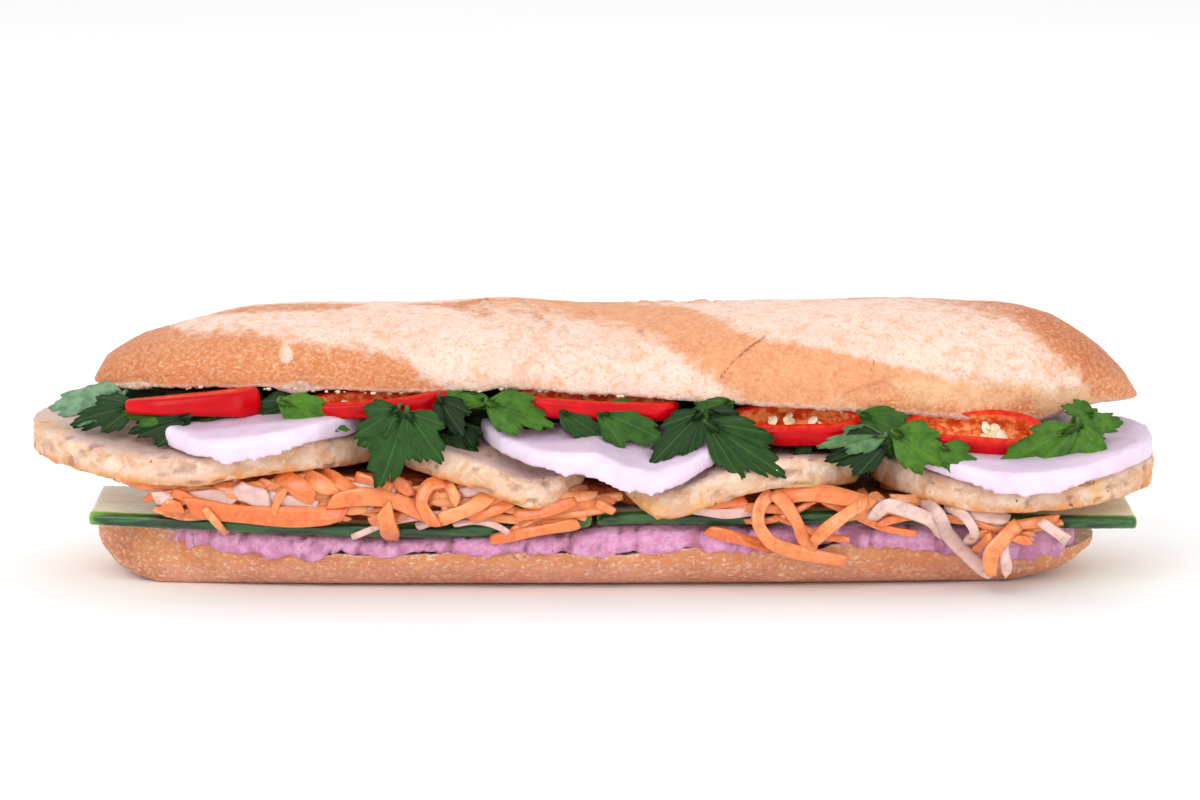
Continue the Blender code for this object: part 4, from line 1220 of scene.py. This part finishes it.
def crumbs(mat):
    """Loose crumbs along both cut edges, thicker where the crust is torn."""
    parts = []
    for k in range(150):
        side = -1 if RNG.random() < 0.6 else 1
        x = RNG.uniform(-112, 120)
        if RNG.random() < 0.3:
            x = RNG.choice([-107, -68, -30, 10]) + RNG.normal(0, 4)
        wide = BREAD_HALF * rounded(x, TOP_LEFT, TOP_RIGHT, TOP_BLUNT)
        z = float(curve(TOP_EDGE, np.array([x]))[0])
        place = (x, side * (wide - RNG.uniform(0.0, 1.4)), z - RNG.uniform(-0.3, 0.35))
        parts.append(blob(place, RNG.uniform(0.2, 0.48), k))
    for k in range(90):
        side = -1 if RNG.random() < 0.6 else 1
        if RNG.random() < 0.6:
            x = RNG.uniform(-108, 110)
        else:
            x = RNG.choice([-2, 84, -100]) + RNG.normal(0, 5)
        wide = BREAD_HALF * rounded(x, LOW_LEFT, LOW_RIGHT, LOW_BLUNT)
        z = float(curve(LOW_EDGE, np.array([x]))[0])
        place = (x, side * (wide - RNG.uniform(0.0, 1.6)), z + RNG.uniform(-0.3, 0.5))
        parts.append(blob(place, RNG.uniform(0.2, 0.5), 700 + k))
    v, f, m = join(parts)
    add_mesh("crumbs", v, f, mat, m)


# ---------------------------------------------------------------- surfaces of the fillings
def pate_material():
    m = Nodes("pate", rough=0.55, spec=0.35, subsurface=0.15, radius=(1, 0.5, 0.6), scale=0.002)
    c = m.spread(srgb(214, 142, 184), srgb(234, 176, 212), 2.6, 4, 0.6, 0.35, 0.65)
    c = m.spread(c, srgb(182, 104, 146), 0.8, 3, 0.6, 0.56, 0.70, 0.6)
    # painted shade in the pits and creases
    c = m.tint(c, "pit", 0.55, srgb(140, 70, 84))
    c = m.spread(c, srgb(214, 150, 120), 1.6, 2, 0.5, 0.68, 0.76, 0.7)
    return m.finish(c, m.noise(0.7, 4, 0.6), 0.6)


def cucumber_material():
    m = Nodes("cucumber", rough=0.28, spec=0.5, subsurface=0.2, radius=(0.6, 1, 0.5), scale=0.002,
              coat=0.3, coat_rough=0.15)
    flesh = m.spread(srgb(248, 252, 232), srgb(236, 244, 212), 3.0, 3, 0.5, 0.35, 0.7)
    flesh = m.mix(m.mask("core"), flesh, srgb(236, 240, 206))
    c = m.mix(m.mask("rind"), flesh, srgb(118, 176, 62))
    skin = m.spread(srgb(16, 52, 24), srgb(42, 100, 38), 2.2, 3, 0.6, 0.4, 0.62, stretch=(0.15, 1, 1))
    c = m.mix(m.mask("skin"), c, skin)
    return m.finish(c, m.noise(1.0, 3, 0.5), 0.12)


def meat_material():
    m = Nodes("pork", rough=0.5, spec=0.4, subsurface=0.15, radius=(1, 0.6, 0.4), scale=0.002)
    c = m.mix(m.mask("grain"), srgb(216, 178, 150), srgb(234, 206, 182))
    c = m.spread(c, srgb(208, 156, 116), 4.5, 4, 0.6, 0.42, 0.66, 0.85, distort=0.6)
    c = m.spread(c, srgb(244, 218, 200), 1.3, 3, 0.6, 0.55, 0.72, 0.55)
    c = m.tint(c, "top", 0.75, srgb(204, 174, 168))
    browned = m.times(m.mask("low"), m.range(m.noise(2.4, 3, 0.6), 0.3, 0.6))
    c = m.mix(browned, c, srgb(222, 142, 66))
    c = m.tint(c, "stain", 0.6, srgb(232, 176, 92))
    # painted shade in the holes and creases
    c = m.tint(c, "hole", 0.55, srgb(150, 100, 84))
    c = m.spread(c, srgb(74, 42, 34), 1.6, 2, 0.4, 0.72, 0.76, 0.85)
    return m.finish(c, m.noise(0.9, 4, 0.6), 0.3)


def ham_material():
    m = Nodes("pork_roll", rough=0.38, spec=0.45, subsurface=0.25, radius=(1, 0.7, 0.8), scale=0.003,
              coat=0.15, coat_rough=0.3)
    c = m.spread(srgb(228, 212, 232), srgb(220, 202, 222), 5.0, 4, 0.55, 0.35, 0.68)
    # painted shade: the flat faces a darker copy of the rim's colour
    c = m.tint(c, "face", 0.85, srgb(198, 176, 200))
    c = m.tint(c, "blush", 0.25, srgb(232, 196, 204))
    c = m.tint(c, "pore", 0.45, srgb(196, 150, 164))
    return m.finish(c, m.noise(0.9, 3, 0.5), 0.08)


def strip_material(name, bright, light, dark, inner_light):
    m = Nodes(name, rough=0.25, spec=0.5, subsurface=inner_light, radius=(1, 0.5, 0.25),
              scale=0.002, coat=0.35, coat_rough=0.12)
    c = m.mix(m.mask("tone"), bright, light)
    c = m.spread(c, dark, 2.4, 3, 0.6, 0.42, 0.7, 0.6)
    c = m.spread(c, light, 0.8, 3, 0.6, 0.5, 0.75, 0.4)
    # painted light: the edges a quarter of the way to the light tone, in place of light through the thin
    # edges
    c = m.mix(m.times(m.math("SUBTRACT", 1.0, m.mask("middle")), 0.25), c, light)
    return m.finish(c, m.noise(0.7, 3, 0.5, stretch=(0.3, 1, 1)), 0.12)


def leaf_material():
    m = Nodes("coriander", rough=0.5, spec=0.22)
    # Tones from near-black to pale green: partly the leaves' own colour, and the near-black end is painted
    # shade.
    c = m.mix(m.range(m.mask("tone"), 0.0, 0.5), srgb(10, 26, 12), srgb(42, 84, 22))
    c = m.mix(m.range(m.mask("tone"), 0.42, 0.72), c, srgb(74, 120, 26))
    c = m.mix(m.range(m.mask("tone"), 0.78, 1.0), c, srgb(128, 160, 130))
    c = m.tint(c, "under", 0.3, srgb(104, 134, 84))
    c = m.spread(c, srgb(18, 46, 14), 3.0, 3, 0.6, 0.35, 0.7, 0.5)
    ray = m.math("ABSOLUTE", m.math("SINE", m.times(m.mask("leaf_a"), VEIN_RAYS)))
    vein = m.range(m.times(ray, m.mask("leaf_r")), 0.02, 0.08, 0.8, 0.0)
    small = m.math("ABSOLUTE", m.math("SINE", m.times(m.mask("leaf_a"), TWIG_RAYS)))
    side = m.range(m.times(small, m.mask("leaf_r")), 0.04, 0.16, 0.4, 0.0)
    vein = m.math("MAXIMUM", vein, m.times(side, m.range(m.mask("leaf_r"), 0.3, 0.6)))
    c = m.mix(m.times(vein, 0.26), c, srgb(116, 150, 80))
    net = m.range(m.dots(1.3), 0.0, 0.5, 0.25, 0.0)
    c = m.mix(net, c, srgb(30, 66, 30))
    bump = m.math("SUBTRACT", m.noise(1.2, 2, 0.5), m.times(vein, 0.35))
    return m.finish(c, bump, 0.16)


def chilli_material():
    m = Nodes("chilli", rough=0.28, spec=0.16, subsurface=0.05, radius=(1, 0.1, 0.05), scale=0.001,
              coat=0.07, coat_rough=0.12)
    skin = m.spread(srgb(186, 0, 12), srgb(208, 2, 16), 6, 2, 0.5, 0.35, 0.7)
    flesh = m.spread(srgb(206, 22, 6), srgb(224, 58, 20), 1.5, 3, 0.6, 0.35, 0.65)
    c = m.mix(m.mask("skin"), flesh, skin)
    pith = m.spread(srgb(206, 72, 26), srgb(238, 158, 96), 2.0, 4, 0.65, 0.42, 0.62)
    c = m.tint(c, "pith", 0.92, pith)
    return m.finish(c, m.noise(1.5, 3, 0.5), 0.06)


def grain_material(name, a, b, rough, cell, depth, subsurface):
    """Seeds or crumbs: each grain's tone lies between a and b."""
    m = Nodes(name, rough=rough, spec=0.4, subsurface=subsurface, radius=(1, 0.7, 0.4), scale=0.001)
    c = m.spread(m.mix(m.mask("tone"), a, b), b, cell, 3, 0.6, 0.4, 0.7, 0.5)
    return m.finish(c, m.noise(cell * 0.6, 3, 0.6), depth)


# A dark copy of a heap's own colour: painted shade for the inside of the heap.
def core_material(name, a, b):
    m = Nodes(name, rough=0.6, spec=0.2)
    return m.finish(m.spread(a, b, 3.0, 4, 0.6, 0.35, 0.65), m.noise(1.2, 3, 0.6), 0.6)


# ---------------------------------------------------------------- stage
def link(name, data):
    obj = bpy.data.objects.new(name, data)
    bpy.context.scene.collection.objects.link(obj)
    return obj


def aim(direction):
    """The rotation that points a camera or lamp along the direction."""
    return Vector(direction).to_track_quat("-Z", "Y").to_euler()


def camera():
    data = bpy.data.cameras.new("camera")
    data.lens = 152.54
    data.sensor_width = 36
    data.clip_start = 0.01
    data.clip_end = 20
    obj = link("camera", data)
    obj.location = (EYE + SHIFT) * MM
    obj.rotation_euler = aim(FWD)
    bpy.context.scene.camera = obj


def floor():
    half = 6
    mesh = bpy.data.meshes.new("floor")
    corners = [(-half, -half, 0), (half, -half, 0), (half, half, 0), (-half, half, 0)]
    mesh.from_pydata(corners, [], [(0, 1, 2, 3)])
    m = Nodes("floor", rough=0.9, spec=0.2)
    mesh.materials.append(m.finish(m.spread((0.96,) * 3, (0.98,) * 3, 400, 2, 0.5, 0.3, 0.7)))
    link("floor", mesh)


# Each lamp: name, place in metres, power in watts.
LAMPS = [
    ("key", (-0.5, -1.0, 0.70), 6.0),
    ("fill", (0.8, -1.0, 0.32), 3.2),
    ("rim", (0.1, 0.8, 0.8), 1.5),
]


def lights():
    world = bpy.data.worlds.new("world")
    world.use_nodes = True
    world.node_tree.nodes["Background"].inputs["Color"].default_value = (1, 1, 1, 1)
    world.node_tree.nodes["Background"].inputs["Strength"].default_value = 0.95
    bpy.context.scene.world = world
    bpy.context.scene.view_settings.view_transform = "Standard"
    for name, place, power in LAMPS:
        light = bpy.data.lights.new(name, "AREA")
        light.shape = "SQUARE"
        light.size = 0.8
        light.energy = power
        lamp = link(name, light)
        lamp.location = place
        lamp.rotation_euler = aim(Vector((0, 0, 0.03)) - Vector(place))


camera()
floor()
lights()
TOP_TONES = [("tan", srgb(232, 157, 109)), ("yellow", srgb(238, 190, 144)),
             ("gold", srgb(214, 131, 80))]
LOW_TONES = [("pale", srgb(236, 178, 134)), ("pink", srgb(220, 154, 140))]
bread_top(crust_material("crust", srgb(242, 216, 200), TOP_TONES,
                         srgb(238, 190, 150), srgb(186, 102, 58), 0.55))
bread_bottom(crust_material("low_crust", srgb(220, 146, 98), LOW_TONES,
                            srgb(246, 214, 184), srgb(178, 98, 58), 0.8))
pate(pate_material())
CUCUMBER = cucumber_material()
for row in ("front", "back"):
    for number in (1, 2):
        cucumber(f"cucumber_{row}_{number}", CUCUMBER)
PORK = meat_material()
for number in (1, 2, 3, 4):
    meat(f"meat_slice_{number}", PORK, 60 + number)
ROLL = ham_material()
for number in (1, 2, 3):
    ham(f"ham_slice_{number}", ROLL, 80 + number)
# the pickle heap's inside, in a darker orange that is painted shade
shrunk_core("pickle_shade_core", "pickled_shreds", 1.6, -25.5, 97,
            core_material("pickle_shade_core", srgb(150, 60, 22), srgb(196, 96, 46)), 33)
pickles(strip_material("carrot", srgb(224, 108, 40), srgb(240, 164, 104), srgb(206, 72, 20), 0.15),
        strip_material("daikon", srgb(208, 166, 152), srgb(228, 196, 188), srgb(184, 136, 122), 0.3))
# the coriander heap's inside, in a near-black green that is painted shade
shrunk_core("leaf_shade_core", "coriander", 2.0, -25.0, 99,
            core_material("leaf_shade_core", srgb(14, 30, 14), srgb(26, 50, 22)), 34)
coriander(leaf_material())
chillies(chilli_material(),
         grain_material("seeds", srgb(232, 206, 158), srgb(244, 228, 200), 0.35, 1.0, 0.05, 0.2))
crumbs(grain_material("crumbs", srgb(232, 200, 160), srgb(246, 226, 200), 0.7, 0.6, 0.2, 0.1))
